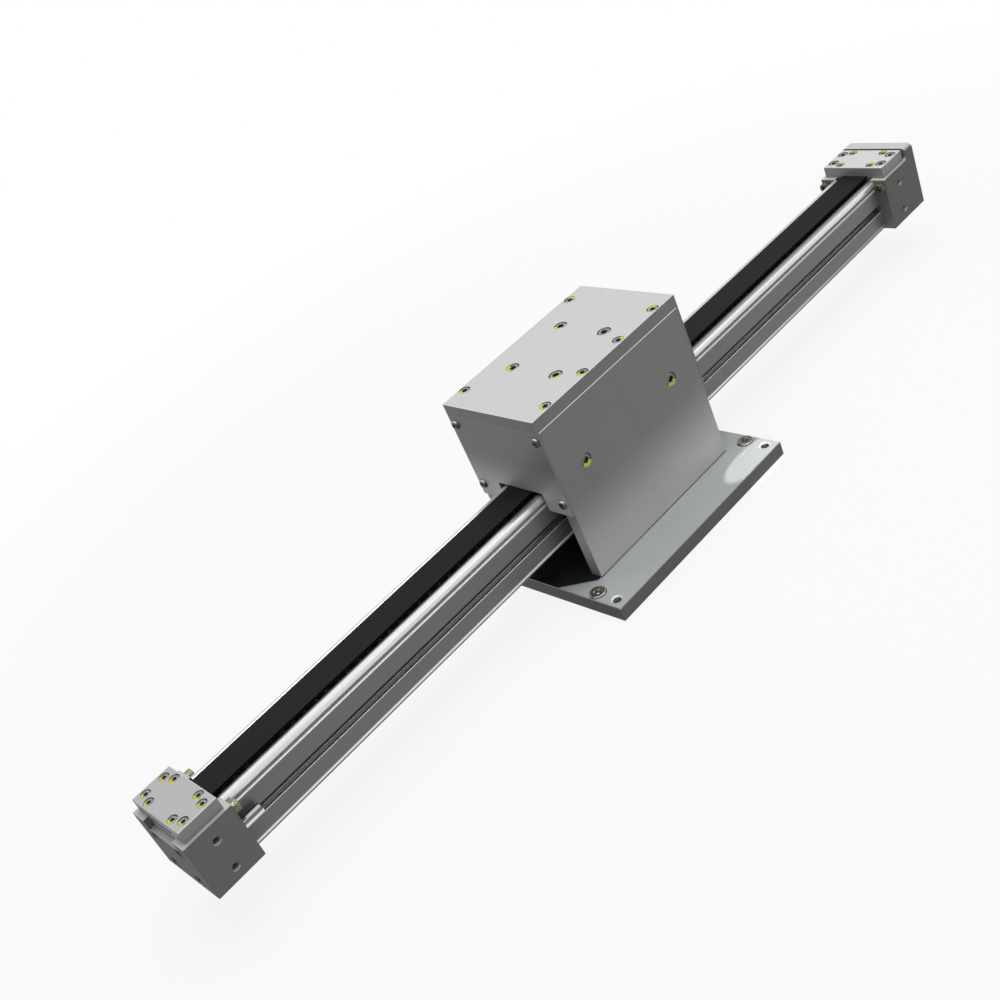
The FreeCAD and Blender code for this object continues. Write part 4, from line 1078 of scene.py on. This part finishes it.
def threadTree():
    # a tube from z = 0 down, its wall drawn in along a screw line
    tree, bench, entry = treeWith("tapped threads", {
        "Radius": "NodeSocketFloat",
        "Depth": "NodeSocketFloat",
        "Pitch": "NodeSocketFloat",
        "Material": "NodeSocketMaterial",
    })
    radius = entry.out("Radius")
    depth = entry.out("Depth")
    pitch = entry.out("Pitch")
    rows = bench.add("FunctionNodeFloatToInt", None, {0: depth / pitch * threadRows})
    tube = bench.add(
        "GeometryNodeMeshCylinder",
        {"fill_type": "NONE"},
        {"Vertices": roundSides, "Side Segments": rows, "Radius": radius, "Depth": depth},
    )
    lowered = bench.add("ShaderNodeCombineXYZ", None, {"Z": depth * -0.5})
    placed = bench.add("GeometryNodeTransform", None, {"Geometry": tube, "Translation": lowered})
    place = bench.add("ShaderNodeSeparateXYZ", None, {0: bench.add("GeometryNodeInputPosition")})
    turns = bench.maths("ARCTAN2", place.out("Y"), place.out("X")) / (2 * math.pi)
    wave = bench.maths("PINGPONG", place.out("Z") / pitch + turns + threadTurns, 0.5)
    share = 1.0 - wave * threadFlank * pitch / radius
    cut = bench.add("ShaderNodeCombineXYZ", None, {
        "X": place.out("X") * share, "Y": place.out("Y") * share, "Z": place.out("Z"),
    })
    threaded = bench.add("GeometryNodeSetPosition", None, {"Geometry": placed, "Position": cut})
    inside = bench.add("GeometryNodeFlipFaces", None, {"Mesh": threaded})
    closeTree(bench, entry, inside)
    return tree


def holePlaces(mount):
    # the hole centres of a rectangle or a line of holes
    centre = Vector(mount["pos_m"])
    axis = Vector(mount["axis"])
    spans = [Vector((1, 0, 0)), Vector((0, 1, 0)), Vector((0, 0, 1))]
    first, second = [span for span in spans if abs(span.dot(axis)) < 0.5]
    halfFirst = mount["dims"].get("spacing_x_mm", 0.0) * mm / 2
    halfSecond = mount["dims"].get("spacing_y_mm", 0.0) * mm / 2
    return [
        centre + first * halfFirst * signFirst + second * halfSecond * signSecond
        for signFirst in ((-1, 1) if halfFirst else (0,))
        for signSecond in (-1, 1)
    ]


def tappedThreads():
    # one object for each pattern of holes
    tree = threadTree()
    for name, (depth, pitch) in threadSettings.items():
        mount = mounts[name]
        axis = Vector(mount["axis"])
        across = far if abs(axis.x) < 0.5 else up
        places = [(place, axis, across, 1.0) for place in holePlaces(mount)]
        values = {
            "Radius": mount["dims"]["hole_r_mm"] * mm,
            "Depth": depth * mm,
            "Pitch": pitch * mm,
            "Material": materials["innerAluminium"],
        }
        threads = grown("threads_" + name, tree, places, values, smoothAngles["threads"])
        owner = "carriage" if name == "base_threads" else "beam"
        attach(threads, owner)


tappedThreads()
print("threads cut:", len(threadSettings), "patterns")


# Floor, light and camera

studio = {
    # the floor shows by floorShow out to fadeFrom and is plain white from fadeTo on;
    # worldFill is the world's light on the object
    "floorHalf": 6.0, "floorDrop": 0.05 * mm, "floorColour": grey(0.72), "floorShow": 0.14,
    "fadeFrom": 0.45, "fadeTo": 0.95, "worldFill": 0.32,
}
lamps = {
    # name: (place, aimed at, width, height, watts)
    "overhead": ((0.15, 0.0, 1.70), (0.05, 0.0, 0.05), 2.0, 1.4, 25.0),
    "camera side": ((0.90, -1.60, 0.90), (0.0, 0.0, 0.08), 1.2, 1.0, 2.5),
}
cornerSpot = {
    # hangs straight over the base plate's far right corner; the patch is its lit oval at floor level
    "place": (0.076, -0.0755, 0.40), "patch": (0.072, 0.032), "watts": 4.2, "blend": 0.35, "bulb": 0.001,
}
cameraSettings = {
    # metres, but mm for lens and sensor; right, up and back are its own axes
    "place": (-0.53007, -0.70865, 0.60178), "lens": 48.65, "sensor": 36.0, "clip": (0.01, 50.0),
    "right": (0.65617, -0.66088, -0.36424),
    "up": (0.61149, 0.18283, 0.76984),
    "back": (-0.44218, -0.72788, 0.52409),
}


def seenBy(bench, kinds):
    # 1 for rays of these kinds, 0 for all others
    ray = bench.add("ShaderNodeLightPath")
    seen = ray.out(kinds[0])
    for kind in kinds[1:]:
        seen = bench.maths("MAXIMUM", seen, ray.out(kind))
    return seen


def floorMaterial():
    # pale floor that keeps the shadow near the object and fades to white away from it
    material, bench = newMaterial("paleFloor")
    place = bench.add("ShaderNodeTexCoord").out("Object")
    away = bench.add("ShaderNodeVectorMath", {"operation": "LENGTH"}, {0: place}).out("Value")
    fade = away.step(studio["fadeFrom"], studio["fadeTo"])
    seen = seenBy(bench, ["Is Camera Ray", "Is Glossy Ray"])
    whiteness = seen * (1.0 - studio["floorShow"] * (1.0 - fade))
    matt = bench.add("ShaderNodeBsdfDiffuse", None, {"Color": opaque(studio["floorColour"])})
    glow = bench.add("ShaderNodeEmission", None, {"Color": opaque(white), "Strength": 1.0})
    mixed = bench.add("ShaderNodeMixShader", None, {0: whiteness, 1: matt, 2: glow})
    bench.add("ShaderNodeOutputMaterial", None, {"Surface": mixed})
    return material


def paleFloor():
    half = studio["floorHalf"]
    level = cadBox[0].z - studio["floorDrop"]
    corners = [(-half, -half, level), (half, -half, level), (half, half, level), (-half, half, level)]
    mesh = bpy.data.meshes.new("floor")
    mesh.from_pydata(corners, [], [(0, 1, 2, 3)])
    floor = newObject("floor", mesh)
    mesh.materials.append(floorMaterial())


def paleWorld():
    world = bpy.data.worlds.new("studio")
    world.use_nodes = True
    world.node_tree.nodes.clear()
    bench = Bench(world.node_tree)
    seen = seenBy(bench, ["Is Camera Ray", "Is Glossy Ray", "Is Transmission Ray"])
    strength = seen * (1.0 - studio["worldFill"]) + studio["worldFill"]
    sky = bench.add("ShaderNodeBackground", None, {"Color": opaque(white), "Strength": strength})
    bench.add("ShaderNodeOutputWorld", None, {"Surface": sky})
    bpy.context.scene.world = world


def areaLamps():
    for name, (place, target, width, height, watts) in lamps.items():
        light = bpy.data.lights.new(name, "AREA")
        light.shape = "RECTANGLE"
        light.size = width
        light.size_y = height
        light.energy = watts
        lamp = newObject(name, light)
        lamp.location = place
        lamp.rotation_mode = "QUATERNION"
        lamp.rotation_quaternion = (Vector(target) - Vector(place)).to_track_quat("-Z", "Y")


def cornerLamp():
    length, width = cornerSpot["patch"]
    height = cornerSpot["place"][2]
    light = bpy.data.lights.new("corner", "SPOT")
    light.energy = cornerSpot["watts"]
    light.shadow_soft_size = cornerSpot["bulb"]
    light.spot_size = 2.0 * math.atan(length / 2.0 / height)
    light.spot_blend = cornerSpot["blend"]
    lamp = newObject("corner", light)
    lamp.location = cornerSpot["place"]
    lamp.scale = (1.0, width / length, 1.0)
    lamp.visible_glossy = False     # it lights the plate and isn't mirrored in it


def photoCamera():
    data = bpy.data.cameras.new("camera")
    data.lens = cameraSettings["lens"]
    data.sensor_width = cameraSettings["sensor"]
    data.clip_start, data.clip_end = cameraSettings["clip"]
    camera = newObject("camera", data)
    turn = Matrix([cameraSettings["right"], cameraSettings["up"], cameraSettings["back"]]).transposed()
    camera.matrix_world = Matrix.Translation(cameraSettings["place"]) @ turn.to_4x4()
    bpy.context.scene.camera = camera


paleFloor()
paleWorld()
areaLamps()
cornerLamp()
photoCamera()
bpy.context.scene.view_settings.view_transform = "Standard"
print("studio set")
